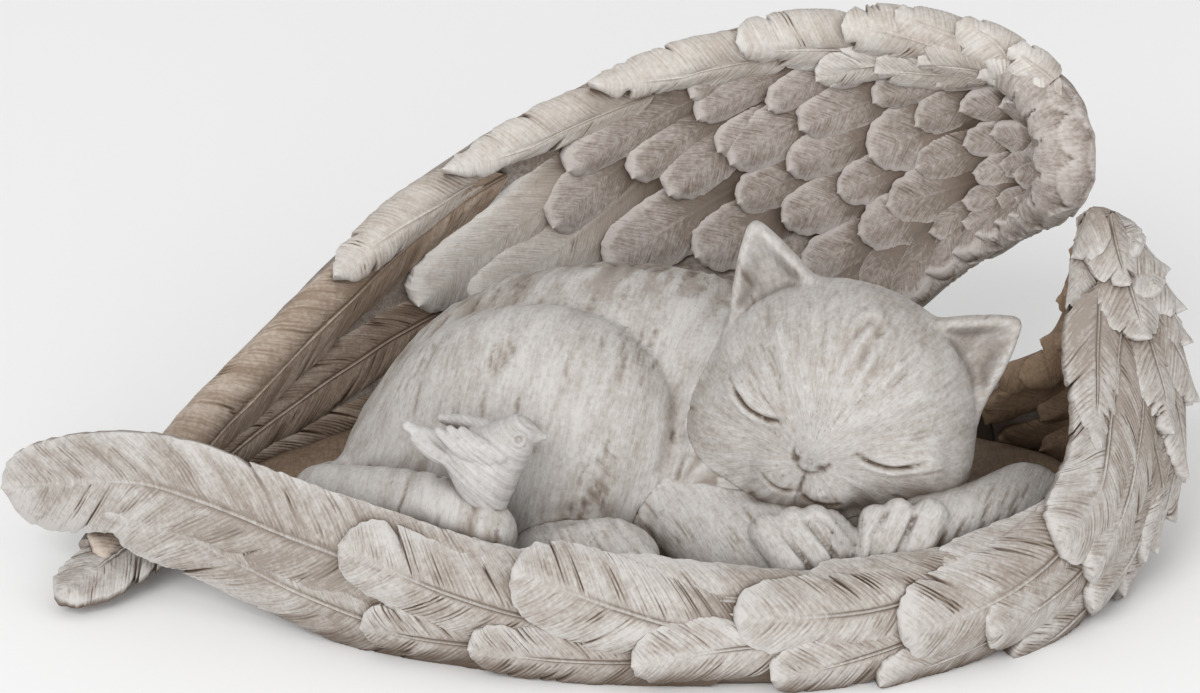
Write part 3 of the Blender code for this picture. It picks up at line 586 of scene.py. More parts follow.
def ear_form(local, base_start, base_end, tip):
    """Field of a pointed ear with a hollow front, in the head's axes."""
    start, end, top = (np.array(point, float) for point in (base_start, base_end, tip))
    middle = (start + end) / 2
    side = (end - start) / np.linalg.norm(end - start)
    up = top - middle
    up -= side * (up @ side)
    height = np.linalg.norm(up)
    up /= height
    front = np.cross(side, up)
    offset = local - middle
    x, y, z = offset @ side, offset @ up, offset @ front
    half = np.linalg.norm(end - start) / 2
    rounding = 3.2
    corners = np.array(((-half, -6.0), (half, -6.0), ((top - middle) @ side, height)))
    outline = np.full(len(local), -1e3)
    for a, b in zip(corners, np.roll(corners, -1, axis=0)):
        run = (b - a) / np.linalg.norm(b - a)
        outward = np.array((run[1], -run[0]))
        bulge = 1.4 * np.clip(1 - ((np.column_stack([x, y]) - (a + b) / 2) @ run / 14) ** 2, 0, 1)
        edge = (x - a[0]) * outward[0] + (y - a[1]) * outward[1] - bulge - 1.3
        outline = kept_within(outline, edge, rounding)
    inner = eased(0.8, 5.4, -outline)
    face = 2.4 - 3.8 * inner * eased(-5, 4, y)
    back = 2.6 + 1.2 * inner
    return kept_within(outline, kept_within(z - face, -z - back, 1.0), 2.0)


def head_form(points):
    """Field of the cat's head with its ears."""
    local = in_head_axes(points)
    field = egg(local, *HEAD_MASSES[0][:2])
    for centre, half_sizes, softness in HEAD_MASSES[1:]:
        field = blended(field, egg(local, centre, half_sizes), softness)
    for ear in (LEFT_EAR, RIGHT_EAR):
        field = blended(field, ear_form(local, *ear), 2.6)
    return field


def cat_body(points):
    """Field of the body piece, with its side of the creases at the neck and the legs."""
    body = trunk_form(points)
    near = np.maximum(fillet(body, head_form(points), 3.0), fillet(body, paw_form(points), LEG_CREASE))
    return np.maximum(body - near, 5.0 - points[:, 2])


def cat_paws(points):
    """Field of the legs, with their side of the crease at the body."""
    paws = paw_form(points)
    return np.maximum(paws - fillet(paws, trunk_form(points), LEG_CREASE), 5.0 - points[:, 2])


def cat_head(points):
    """Field of the head piece, with its side of the crease at the neck."""
    head = head_form(points)
    return head - fillet(head, trunk_form(points), 3.0)


def bird_form(points):
    """Field of the bird: body, beak, tail, folded wings and legs."""
    field = egg(points, *BIRD_MASSES[0][:2])
    for centre, half_sizes, softness in BIRD_MASSES[1:]:
        field = blended(field, egg(points, centre, half_sizes), softness)
    for line in BIRD_TAILS:
        field = blended(field, limb(points, line), 0.7)
    for line in BIRD_WINGS:
        field = blended(field, limb(points, line), 0.4)
    field = blended(field, limb(points, BIRD_BEAK), 0.6)
    return blended(field, limb(points, BIRD_FEET), 3.0)


# Skin of a form

def in_parts(field, points):
    """The field at many places, worked out a part at a time."""
    part = 120000
    return np.concatenate([field(points[start:start + part]) for start in range(0, len(points), part)])


def field_grid(field, low, high, pitch):
    """The field on a grid, worked out finely only near the skin."""
    block = 4
    low = np.array(low, float)
    blocks = np.ceil((np.array(high) - low) / (pitch * block)).astype(int)
    coarse = np.stack(np.meshgrid(*[np.arange(n + 1) for n in blocks], indexing="ij"), -1)
    rough = in_parts(field, low + coarse.reshape(-1, 3) * pitch * block).reshape(coarse.shape[:3])
    index = [np.minimum(np.arange(n * block + 1) // block, n) for n in blocks]
    values = rough[np.ix_(*index)].copy()
    reach = pitch * block * 1.25
    close = np.abs(rough) < reach
    cells = np.zeros(tuple(blocks), bool)
    for corner in range(8):
        i, j, k = ((corner >> axis) & 1 for axis in range(3))
        cells |= close[i:i + blocks[0], j:j + blocks[1], k:k + blocks[2]]
    fine = cells.repeat(block, 0).repeat(block, 1).repeat(block, 2)
    nodes = np.zeros(values.shape, bool)
    for corner in range(8):
        i, j, k = ((corner >> axis) & 1 for axis in range(3))
        nodes[i:i + fine.shape[0], j:j + fine.shape[1], k:k + fine.shape[2]] |= fine
    places = np.argwhere(nodes)
    values[nodes] = in_parts(field, low + places * pitch)
    return values


def skin_of(field, low, high, pitch):
    """Points and quads of a form's closed skin, with the unit normals at its points."""
    values = field_grid(field, low, high, pitch)
    inside = values < 0
    shape = np.array(values.shape) - 1
    number = np.zeros(tuple(shape), np.int8)
    offsets = np.array([[(corner >> axis) & 1 for axis in range(3)] for corner in range(8)])
    for i, j, k in offsets:
        number += inside[i:i + shape[0], j:j + shape[1], k:k + shape[2]]
    mixed = (number > 0) & (number < 8)
    cells = np.argwhere(mixed)
    index = np.full(tuple(shape), -1, np.int64)
    index[mixed] = np.arange(len(cells))
    at_corner = [values[tuple((cells + offset).T)] for offset in offsets]
    total = np.zeros((len(cells), 3))
    crossings = np.zeros(len(cells))
    for a in range(8):
        for axis in range(3):
            if not offsets[a][axis]:
                b = a + (1 << axis)
                crossed = (at_corner[a] < 0) != (at_corner[b] < 0)
                gap = np.where(crossed, at_corner[a] - at_corner[b], 1)
                share = np.where(crossed, at_corner[a] / gap, 0)
                place = offsets[a] + share[:, None] * (offsets[b] - offsets[a])
                total += place * crossed[:, None]
                crossings += crossed
    points = np.array(low) + pitch * (cells + total / crossings[:, None])
    faces = []
    for axis in range(3):
        second, third = (axis + 1) % 3, (axis + 2) % 3
        near = [slice(1, -1)] * 3
        far = [slice(1, -1)] * 3
        near[axis] = slice(0, -1)
        far[axis] = slice(1, None)
        changed = inside[tuple(near)] != inside[tuple(far)]
        starts = np.argwhere(changed)
        outward = inside[tuple(near)][changed]
        quad = []
        for step_second, step_third in ((0, 0), (1, 0), (1, 1), (0, 1)):
            cell = starts.copy()
            cell[:, second] += step_second
            cell[:, third] += step_third
            quad.append(index[tuple(cell.T)])
        quad = np.stack(quad, 1)
        quad[~outward] = quad[~outward][:, ::-1]
        faces.append(quad)
    for _ in range(2):
        normals, level = steepest(field, points)
        points = points - normals * np.clip(level, -pitch, pitch)[:, None] * 0.9
    normals, _ = steepest(field, points)
    return points, np.concatenate(faces), normals


def steepest(field, points):
    """Unit direction in which a field grows, and the distance to its skin."""
    step = 0.12
    slope = np.zeros_like(points)
    for axis in range(3):
        shift = np.zeros(3)
        shift[axis] = step
        slope[:, axis] = (in_parts(field, points + shift) - in_parts(field, points - shift)) / (2 * step)
    size = np.maximum(np.linalg.norm(slope, axis=1), 0.2)
    return slope / size[:, None], in_parts(field, points) / size


# Fur and face carving

def strokes(across, along, seed, fine=1.0):
    """Height of short carved strokes that run along one way, from -1 to 1."""
    wander = 2.2 * (ripple(np.column_stack([across / 9, along / 9]), seed + 7) - 0.5)
    across = across + wander
    wide = ripple(np.column_stack([across / (1.5 * fine), along / 6]), seed)
    thin = ripple(np.column_stack([across / (0.85 * fine), along / 4]), seed + 1)
    return 0.8 * (wide - 0.5) + 1.1 * (thin - 0.5)


def scratches(across, along, seed, chance):
    """Depth from 0 to 1 of single deep scratches, where chance says how many there are."""
    wander = 1.8 * (ripple(np.column_stack([across / 11, along / 11]), seed + 5) - 0.5)
    place = (across + wander) / 1.25
    column = np.floor(place)
    run = along / 6.5 + scattered(column[:, None], seed)
    row = np.floor(run)
    there = scattered(np.column_stack([column, row]), seed + 1) < chance
    return there * bell(place - column - 0.5, 0.3) * np.sqrt(np.sin(math.pi * (run - row)))


def line_distance(places, line, steps=24):
    """Distance of flat places from a smooth line, and the side of it that they lie on."""
    run = smooth_line(line)(np.linspace(0, 1, steps + 1))
    nearest = np.full(len(places), 1e3)
    side = np.zeros(len(places))
    for a, b in zip(run, run[1:]):
        way = b - a
        offset = places - a
        share = np.clip(offset @ way / (way @ way), 0, 1)
        away = np.linalg.norm(offset - share[:, None] * way, axis=1)
        closer = away < nearest
        nearest = np.where(closer, away, nearest)
        side = np.where(closer, way[0] * offset[:, 1] - way[1] * offset[:, 0], side)
    return nearest, np.sign(side)


def ends_fade(places, line, reach):
    """1 along a line, easing to 0 at both of its ends."""
    first, last = np.array(line[0], float), np.array(line[-1], float)
    near = np.minimum(np.linalg.norm(places - first, axis=1), np.linalg.norm(places - last, axis=1))
    return eased(0, reach, near)


def overlapping_scales(along, across, size):
    """Height from 0 to 1 of round scales in staggered rows, with their tips towards growing along."""
    gap = np.full(len(along), size)
    for step in (2, 1, 0, -1):
        row = np.floor(along / size) + step
        off = across / (1.15 * size) + 0.5 * (row % 2)
        off = 2 * (off - np.round(off))
        edge = row * size + 0.75 * size * np.sqrt(np.maximum(1 - off**2, 0))
        gap = np.where(along <= edge, edge - along, gap)
    return (1 - np.clip(gap / (1.7 * size), 0, 1)) ** 1.5


def bell(value, width):
    """Rounded bump of height 1."""
    return np.exp(-(value / width) ** 2)


def carve_face(local):
    """Height that the face's carved lines and soft ridges add to the skin."""
    flat = local[:, :2] - np.array((FACE_MIDDLE, 0))
    front = eased(2, 8, local[:, 2])
    height = np.zeros(len(local))
    for mirror in (-1, 1):
        def carved(line, steps=24):
            return line_distance(flat, [(mirror * a, b) for a, b in line], steps)

        away, side = carved(EYE_LINE)
        above = side * mirror > 0
        faded = 0.35 + 0.65 * ends_fade(flat, [(mirror * a, b) for a, b in EYE_LINE], 4.0)
        height -= 1.0 * bell(away, 0.42) * faded
        height += np.where(above, 0.5 * bell(away - 1.2, 0.8), 0.42 * bell(away - 1.15, 0.5)) * faded
        away, _ = carved(MOUTH_LINE)
        height -= 0.7 * bell(away, 0.42) * ends_fade(flat, [(mirror * a, b) for a, b in MOUTH_LINE], 2.5)
        away, _ = carved(NOSE_LINE, 12)
        height -= 0.7 * bell(away, 0.42)
        height -= 1.1 * bell(np.hypot((flat[:, 0] - mirror * 2.9) * 0.8, flat[:, 1] + 9.9), 0.75)
        for a, b in ((4.2, -14.8), (6.2, -13.4), (6.0, -15.9)):
            height -= 0.36 * bell(np.hypot(flat[:, 0] - mirror * a, flat[:, 1] - b), 0.4)
        away, _ = carved(BROW_RIDGE, 10)
        height += 0.55 * bell(away, 1.4)
    for line in FOREHEAD_LOOPS:
        away, _ = line_distance(flat, line, 12)
        height += 0.45 * bell(away, 0.8) - 0.2 * bell(away - 1.6, 0.5)
    away, _ = line_distance(flat, LIP_LINE, 4)
    height -= 0.55 * bell(away, 0.42)
    return height * front


def seen_from_front(points):
    """Right and up of places as the front view shows them, in millimetres at the statue's middle."""
    rise = math.radians(CAMERA_RISE)
    x, y, z = points.T
    z = z - CAMERA_HEIGHT
    depth = 1 + (y * math.cos(rise) - z * math.sin(rise)) / CAMERA_DISTANCE
    return np.column_stack([x / depth, (y * math.sin(rise) + z * math.cos(rise)) / depth])


def carve_toes(points):
    """Depth of the lines between the toes, and how near to them each place is."""
    flat = seen_from_front(points)
    height = np.zeros(len(points))
    for line in TOE_LINES:
        away, _ = line_distance(flat, line, 10)
        height -= 0.55 * bell(away, 0.5) - 0.22 * bell(away - 1.3, 0.7)
    return height * eased(-40, -44, points[:, 1])


def carved_skin(name, skin, height, relief, across, along, tint):
    """Piece from a form's skin raised by a height, with its relief and the lay of its strokes."""
    points, faces, normals = skin
    lay = np.column_stack([across, along, np.full(len(points), float(tint))])
    return piece(name, points + normals * height[:, None], faces, {"relief": relief, "lay": lay})


def finish_head():
    """The head's skin with its face carved and its fur marked."""
    skin = skin_of(cat_head, *HEAD_SKIN)
    points = skin[0]
    local = in_head_axes(points)
    a, b, c = local.T
    across = 26 * np.arctan2(a - FACE_MIDDLE, b + 9)
    along = np.hypot(a - FACE_MIDDLE, b + 9) - 0.35 * c
    fur = strokes(across, along, 3, 1.6)
    patches = ripple(points / 9, 11)
    furry = 1 - 0.85 * bell(np.hypot(a - FACE_MIDDLE, b + 13), 9)
    marks = scratches(across, along, 41, 0.02 + 0.2 * eased(0.5, 0.85, patches)) * furry
    carving = carve_face(local)
    height = carving + 0.13 * fur * furry - 0.26 * marks
    relief = 0.46 + 0.2 * fur - 0.32 * marks + 0.42 * np.clip(carving, -1, 0.3)
    return carved_skin("cat_head", skin, height, relief, across, along, 1)


def finish_body():
    """The body's skin with its fur marked."""
    skin = skin_of(cat_body, *BODY_SKIN)
    points = skin[0]
    x, y, z = points.T
    along = 34 * np.arctan2(z - 4, 8 - y)
    across = x - 0.38 * (1 - eased(16, 34, x)) * (along - 50)
    fur = strokes(across, along, 21, 2.2)
    patches = ripple(points / 10, 12)
    marks = scratches(across, along, 43, 0.06 + 0.4 * eased(0.5, 0.8, patches))
    behind = eased(-4, 12, y)
    shag = fur * (1 + 1.4 * behind)
    height = 0.24 * shag - 0.42 * marks
    relief = 0.5 + 0.26 * shag - 0.5 * marks - 0.26 * behind
    return carved_skin("cat_body", skin, height, relief, across, along, 2)


def finish_paws():
    """The legs' skin with their toes carved and their fur marked."""
    skin = skin_of(cat_paws, *PAWS_SKIN)
    points = skin[0]
    right, up = seen_from_front(points).T
    turn = 0.65 - 1.15 * eased(50, 58, right)
    across = right + turn * up
    along = up - turn * right
    fur = strokes(across, along, 51, 1.6)
    patches = ripple(points / 8, 13)
    marks = scratches(across, along, 45, 0.02 + 0.3 * eased(0.5, 0.85, patches))
    toes = carve_toes(points)
    relief = 0.5 + 0.2 * fur - 0.5 * marks + 0.15 * np.clip(toes, -1, 0.3)
    return carved_skin("cat_paws", skin, 0.14 * fur - 0.25 * marks + toes, relief, across, along, 4)


def finish_bird():
    """The bird's skin with its feathers marked."""
    skin = skin_of(bird_form, *BIRD_SKIN)
    points = skin[0]
    x, y, z = points.T
    fan = z + 0.75 * x
    fur = strokes(fan, x, 31, 0.6)
    height = 0.14 * fur
    eye = np.hypot(x + 16.9, z - 46.7)
    height += np.where(y < -48, 0.35 * bell(eye - 1.3, 0.4) - 0.3 * bell(eye, 0.45), 0)
    relief = 0.5 + 0.3 * fur + np.where(y < -48, -0.5 * bell(eye - 0.6, 0.3), 0)
    return carved_skin("bird", skin, height, relief, fan, x, 3)


# Feathers

# A feather carved deeper than this is made finely, and so is one wider than this
FINE_CARVING = 0.6
WIDE_FEATHER = 11.5
BARB_GAP = 1.15
# Shares of the half width at which a feather has points, closest at the rib and at the edge
WIDE_COLUMNS = (0, 0.045, 0.1, 0.17, 0.3, 0.46, 0.62, 0.77, 0.89, 0.97, 1)
NARROW_COLUMNS = (0, 0.08, 0.18, 0.42, 0.68, 0.88, 0.97, 1)


def metric_step(slope_along, slope_across, way):
    """Step of (along, across) that moves one millimetre in a direction on the sheet."""
    aa = np.sum(slope_along**2, axis=-1)
    ab = np.sum(slope_along * slope_across, axis=-1)
    bb = np.sum(slope_across**2, axis=-1)
    wa = np.sum(slope_along * way, axis=-1)
    wb = np.sum(slope_across * way, axis=-1)
    determinant = aa * bb - ab * ab
    return (bb * wa - ab * wb) / determinant, (aa * wb - ab * wa) / determinant


def swept(across, wide):
    """How far along the feather a barb has run when it is this far from the midrib."""
    return 0.8 * across + 0.35 * across**2 / wide


def barb_reach(starts, outline, wide):
    """Half width that each slanting barb reaches before it meets the feather's outline."""
    low = np.zeros_like(starts)
    high = np.full_like(starts, wide)
    for _ in range(24):
        middle = (low + high) / 2
        inside = outline(starts + swept(middle, wide)) > middle
        low = np.where(inside, middle, low)
        high = np.where(inside, high, middle)
    return low


def feather(sheet, root, tip, width, side=1, lift=3.0, hook=0.6, seed=1, barb=BARB_GAP, point=0.0, ground=1.9,
            rib=1.0, carve=1.0):
    """One carved feather on a sheet: points, faces and the values on its points."""
    rng = np.random.default_rng(seed)
    middle_run = sheet(np.linspace(root[0], tip[0], 30), np.linspace(root[1], tip[1], 30))
    length = np.linalg.norm(np.diff(middle_run, axis=0), axis=1).sum()
    wide = width / 2
    blunt = max(3.2 * length / width, 3.0) * (1 - point) + 1.7 * point

    def outline(run):
        share = np.clip(run / length, 0, 1)
        taper = 0.78 + 0.22 * np.sin(np.minimum(share / 0.5, 1) * math.pi / 2)
        return wide * taper * (1 - share**blunt) ** (0.5 + 0.45 * point)

    start = -0.5 * wide
    rows = int(np.clip((length - start) * (3.2 if carve > FINE_CARVING else 2.2) / barb, 20, 250))
    close = min(1.6, 0.1 * length)
    r = np.concatenate([
        np.linspace(start, length - close, rows, endpoint=False),
        length - close + close * np.sin(np.linspace(0, math.pi / 2, 6)),
    ])
    reach = barb_reach(r, outline, wide)
    halves = np.stack([reach, reach], 1)
    grooves = []
    for way in range(2):
        halves[:, way] += 0.45 * (ripple(np.column_stack([r / 1.9, np.full(len(r), way)]), seed) - 0.5) * (reach > 1.2)
        for _ in range(int(rng.integers(1, 4 if length > 24 else 2)) if width > 8 and carve > FINE_CARVING else 0):
            at = length * rng.uniform(0.3, 0.8)
            deep = min(rng.uniform(0.6, 1.7), 0.22 * width)
            past = r - at
            notch = np.where(past < 0, np.clip(1 + past / 0.35, 0, 1), np.clip(1 - past / 2.4, 0, 1))
            halves[:, way] -= np.minimum(deep * notch, 0.5 * reach)
            grooves.append((way, at))
    halves += 0.04
    share = np.array(WIDE_COLUMNS if width > WIDE_FEATHER and carve > FINE_CARVING else NARROW_COLUMNS)
    t = np.concatenate([-share[::-1], share[1:]])
    columns = len(t)
    across = np.where(t < 0, t * halves[:, :1], t * halves[:, 1:])
    q = np.abs(across)
    s = np.clip((r[:, None] + swept(q, wide)) / length, -0.2, 1)
    u = root[0] + (tip[0] - root[0]) * s
    v = root[1] + (tip[1] - root[1]) * s
    slope_along, slope_across, normal = slopes_and_normal(sheet, u, v)
    forward = slope_along * (tip[0] - root[0]) + slope_across * (tip[1] - root[1])
    sideways = np.cross(normal, forward)
    sideways /= np.linalg.norm(sideways, axis=-1, keepdims=True)
    step_u, step_v = metric_step(slope_along, slope_across, sideways)
    bend = rng.uniform(-0.035, 0.035) * length
    shift = across + bend * 4 * s * (1 - s)
    us = np.maximum(u + np.clip(step_u * shift, -0.07, 0.07), -0.03)
    vs = v + np.clip(step_v * shift, -1.2, 1.2)
    _, _, normals = slopes_and_normal(sheet, us, vs)
    way = (across > 0).astype(float)
    line = np.repeat(r[:, None], columns, 1)
    phase = line / barb + 0.7 * (ripple(np.stack([line / 6, q / 5 + 9 * way], -1), seed + 3) - 0.5)
    chance = scattered(np.stack([np.floor(phase), way], -1), seed + 4)
    depth = 0.4 + 0.4 * chance + 0.9 * (chance > 0.93)
    groove = 1 - np.abs(np.sin(math.pi * phase)) ** 0.6
    fade = 0.55 + 0.45 * np.sin(q / wide * 3.2 + 6 * scattered(np.stack([np.floor(phase), way], -1), seed + 6))
    plume = eased(0.5, 1.2, q) * (1 - 0.5 * eased(0.9, 1, s)) * fade
    clumps = 0.25 * (ripple(np.stack([line / (3.5 * barb), q / 9 + 5 * way], -1), seed + 11) - 0.5)
    barbs = carve * (-0.52 * groove * depth * plume + clumps * eased(0.6, 2.5, q))
    from_rib = np.abs(t)[None, :]
    ridge = rib * (0.25 * bell(from_rib, 0.02) - 0.4 * bell(from_rib - 0.06, 0.035))
    ridge = ridge * (1 - eased(0.62, 0.85, s)) * min(width / 13, 1)
    cuts = np.zeros_like(q)
    for flank, at in grooves:
        cuts -= (way == flank) * 0.6 * bell(line - at, 0.35) * eased(0.2, 0.9, q / max(wide, 1))
    s = np.maximum(s, 0)
    level = ground + lift * s**1.3 + hook * eased(0.72, 1.0, s) ** 2
    crown = (1.9 - 0.65 * carve) * (1 - np.abs(t) ** 2.6)[None, :] * min(width / 14, 1)
    lip = -0.4 * eased(0.86, 1.0, np.abs(t))[None, :]
    waves = 0.6 * (ripple(np.stack([us * 40, vs * 8], -1), seed + 8) - 0.5)
    height = level + crown + lip + barbs + ridge + cuts + waves
    top = sheet(us, vs) + normals * (side * height)[..., None]
    ends = [-1, -4, 3, 0]
    low = np.maximum(level[:, ends] - 2.6 - 0.35 * lift * s[:, ends], ground - 2.5) + np.array((0.2, -0.3, -0.3, 0.2))
    under_u = us[:, ends] + (u - us)[:, ends] * np.array((0.04, 0, 0, 0.04))
    under_v = vs[:, ends] + (v - vs)[:, ends] * np.array((0.04, 0, 0, 0.04))
    under = sheet(under_u, under_v) + normals[:, ends] * (side * low)[..., None]
    points = np.concatenate([top, under], 1)
    fresh = 0.57 + 2.0 * barbs + 1.1 * ridge + 0.9 * cuts
    rub_and_root_shade = 0.25 + 0.6 * (carve < 0.5)
    # Edges and tips rubbed paler; roots darkened as painted shade under the feathers before them
    fresh = fresh + rub_and_root_shade * (eased(0.78, 1.0, from_rib) + 0.8 * eased(0.9, 1, s))
    fresh = fresh - (rub_and_root_shade + 0.05) * (1 - eased(0.1, 0.7, s))
    # Undersides darkest: partly wash, partly painted shade under the feather's edge
    relief = np.concatenate([fresh, np.full((len(r), 4), 0.1)], 1)
    lay = np.stack([
        np.concatenate([line, line[:, ends]], 1), np.concatenate([q * 1.45, q[:, ends]], 1),
        np.full(points.shape[:2], seed % 17 + 0.5),
    ], -1)
    faces = ring_faces(len(r), points.shape[1])
    if side < 0:
        faces = [face[::-1] for face in faces]
    return points.reshape(-1, 3), faces, relief.ravel(), lay.reshape(-1, 3)


def drawn_back(root, tip, share):
    """Root of a feather drawn further back under the feathers before it."""
    return (max(tip[0] - (tip[0] - root[0]) * share, 0.004), tip[1] - (tip[1] - root[1]) * share)


def feather_piece(name, feathers):
    """Several feathers as one piece."""
    points, faces, relief, lay = [], [], [], []
    count = 0
    for some_points, some_faces, some_relief, some_lay in feathers:
        points.append(some_points)
        faces += [[index + count for index in face] for face in some_faces]
        relief.append(some_relief)
        lay.append(some_lay)
        count += len(some_points)
    return piece(name, np.concatenate(points), faces,
                 {"relief": np.concatenate(relief), "lay": np.concatenate(lay)}, 60)


def length_to_share(sheet, along, across, length):
    """Share of the wing's parameter that a length along it takes."""
    slope_along, _, _ = slopes_and_normal(sheet, along, across)
    return length / np.linalg.norm(slope_along)


def wall(name, sheet, last, along_steps, across_steps, bead):
    """A wing's wall under its feathers, with a rounded rim and ends."""
    fold = over_rim(sheet, WING_WALL / 2)
    quarter = math.pi / 4 * WING_WALL
    reach = np.linspace(-1, 1, 2 * across_steps + 1)
    rings = []
    for u in np.linspace(0, last, along_steps + 1):
        steep = np.linalg.norm(slopes_and_normal(sheet, u, 0.0)[1])
        across = reach * (steep + quarter) / 10
        us = np.full_like(across, u)
        _, _, normal = slopes_and_normal(fold, us, across)
        skin = fold(us, across)
        rough = 0.7 * (ripple(skin / 5, 5) - 0.5)
        swell = bead * (1 - eased(0.35, 0.95, np.abs(across)))
        skin = skin + normal * (rough + swell)[:, None]
        share = np.maximum(np.abs(across) * 10 - quarter, 0) / steep
        middle = sheet(us, share)
        skin = middle + (skin - middle) * (1 - 0.7 * eased(0.75, 1, share))[:, None]
        blunt = 1 - (1 - np.clip(min(u / 0.03, (last - u) / 0.015), 0, 1)) ** 2
        rings.append(middle + (skin - middle) * max(blunt, 0.04) ** 0.5)
    points = np.concatenate(rings)
    faces = ring_faces(len(rings), len(rings[0]))
    relief = 0.3 + 0.3 * ripple(points / 3, 6)
    lay = np.column_stack([points[:, 2], points[:, 0], points[:, 1]])
    return piece(name, points, faces, {"relief": relief, "lay": lay})


def back_shoulder_edge():
    """The rounded edge of the back wing's shoulder, covered with small scales."""
    def form(points):
        return limb(points, BACK_SHOULDER_EDGE, 24)

    skin = skin_of(form, *SHOULDER_EDGE_SKIN)
    points = skin[0]
    axis = smooth_line([place for place, _ in BACK_SHOULDER_EDGE])(np.linspace(0, 1, 240))
    lengths = np.concatenate([[0], np.cumsum(np.linalg.norm(np.diff(axis, axis=0), axis=1))])
    nearest = np.concatenate([
        np.linalg.norm(part[:, None] - axis[None], axis=2).argmin(axis=1) for part in np.array_split(points, 8)
    ])
    offset = points - axis[nearest]
    around = 6 * np.abs(np.arctan2(-offset[:, 1], offset[:, 0]))
    scales = overlapping_scales(around, lengths[nearest], 6.5)
    return carved_skin("back_wing_shoulder_edge", skin, 0.9 * scales, 0.35 + 0.5 * scales, lengths[nearest], around, 5)


def nest():
    """The nest under the cat."""
    plan = smooth_line(NEST_PLAN + NEST_PLAN[:1])(np.linspace(0, 1, 221)[:-1])
    middle = plan.mean(axis=0)
    rings = []
    for height, share in ((0.0, 0.95), (0.0, 0.985), (1.5, 1.0), (NEST_FLOOR - 3, 0.99), (NEST_FLOOR - 0.8, 0.96),
                          (NEST_FLOOR, 0.93), (NEST_FLOOR, 0.8), (NEST_FLOOR, 0.6)):
        ring = middle + (plan - middle) * share
        lumps = 0.8 * (ripple(ring / 6, 9) - 0.5) * (height > 3)
        rings.append(np.column_stack([ring, height + lumps]))
    points = np.concatenate(rings)
    faces = ring_faces(len(rings), len(plan))
    relief = 0.3 + 0.3 * ripple(points / 3, 6)
    return piece("nest", points, faces, {"relief": relief, "lay": points})


# Rows of small feathers, laid out flat by a node tree and then wrapped on the wing

def small_feather():
    """Small feather laid flat: its tip at x 0, its root at x -1, one unit wide, heights in metres."""
    s = np.array((0, 0.22, 0.42, 0.6, 0.74, 0.85, 0.93, 0.98, 1.0))
    t = np.linspace(-1, 1, 9)
    half = 0.5 * (0.66 + 0.34 * np.sin(np.minimum(s / 0.6, 1) * math.pi / 2)) * np.sqrt(1 - s**7) + 0.02
    x = np.repeat((s - 1)[:, None], len(t), 1)
    y = half[:, None] * t
    level = WING_WALL / 2 - 0.6 + 2.2 * s**1.3
    z = level[:, None] + 1.0 * (1 - t**2) + 0.3 * bell(t, 0.14) * (1 - eased(0.85, 1, s))[:, None]
    top = np.stack([x, y, z * MM], -1)
    low = np.maximum(level - 3.4, 0.2)
    under = np.stack([x[:, [-1, 4, 0]], y[:, [-1, 4, 0]] * 0.96, np.repeat(low[:, None] * MM, 3, 1)], -1)
    points = np.concatenate([top, under], 1)
    mesh = bpy.data.meshes.new("small_feather")
    mesh.from_pydata(points.reshape(-1, 3).tolist(), [], ring_faces(len(s), points.shape[1]))
    for key, data in (("run", np.repeat(s, points.shape[1])), ("spread", np.tile(np.append(t, (2, 2, 2)), len(s)))):
        layer = mesh.attributes.new(key, "FLOAT", "POINT")
        layer.data.foreach_set("value", data.astype(np.float32))
    thing = bpy.data.objects.new("small_feather", mesh)
    bpy.context.collection.objects.link(thing)
    thing.hide_render = True
    return thing


PLAN_MARGIN = 0.15


def wing_plan(name, sheet, side):
    """Mesh of a wing's sheet with its flat plan as a UV map and its outward way as an attribute."""
    us = np.linspace(-PLAN_MARGIN, 1 + PLAN_MARGIN, 131)
    vs = np.linspace(-PLAN_MARGIN, 1 + PLAN_MARGIN, 41)
    grid_u, grid_v = np.meshgrid(us, vs, indexing="ij")
    points = sheet(grid_u, grid_v)
    _, _, normal = slopes_and_normal(sheet, grid_u, grid_v)
    a = np.arange(len(us) - 1)[:, None] * len(vs) + np.arange(len(vs) - 1)[None, :]
    faces = np.stack([a, a + 1, a + 1 + len(vs), a + len(vs)], -1).reshape(-1, 4)
    mesh = bpy.data.meshes.new(name)
    mesh.from_pydata(((points - PLAN_MIDDLE) * MM).reshape(-1, 3).tolist(), [], faces.tolist())
    plan = np.stack([grid_u, grid_v], -1).reshape(-1, 2)
    plan = (plan + PLAN_MARGIN) / (1 + 2 * PLAN_MARGIN)
    layer = mesh.uv_layers.new(name="plan")
    loops = np.zeros(len(mesh.loops), np.int32)
    mesh.loops.foreach_get("vertex_index", loops)
    layer.data.foreach_set("uv", plan[loops].astype(np.float32).ravel())
    outward = mesh.attributes.new("outward", "FLOAT_VECTOR", "POINT")
    outward.data.foreach_set("vector", (normal * side).astype(np.float32).ravel())
    thing = bpy.data.objects.new(name, mesh)
    bpy.context.collection.objects.link(thing)
    return thing


def new_tree(name, sockets):
    """Geometry node tree with named inputs."""
    tree = bpy.data.node_groups.new(name, "GeometryNodeTree")
    tree.interface.new_socket("Geometry", in_out="INPUT", socket_type="NodeSocketGeometry")
    for label, kind in sockets:
        tree.interface.new_socket(label, in_out="INPUT", socket_type=kind)
    tree.interface.new_socket("Geometry", in_out="OUTPUT", socket_type="NodeSocketGeometry")
    return tree


class Wiring:
    """Short calls to add nodes to a tree and join them."""

    def __init__(self, tree):
        self.tree = tree

    def node(self, kind, values=(), **settings):
        """Node with its settings, and its inputs joined or set."""
        made = self.tree.nodes.new(kind)
        for key, value in settings.items():
            setattr(made, key, value)
        for key, value in dict(values).items():
            if isinstance(value, bpy.types.NodeSocket):
                self.tree.links.new(value, made.inputs[key])
            else:
                made.inputs[key].default_value = value
        return made

    def math(self, operation, a, b=0.0):
        """Result of a sum of one or two numbers."""
        return self.node("ShaderNodeMath", {0: a, 1: b}, operation=operation).outputs[0]


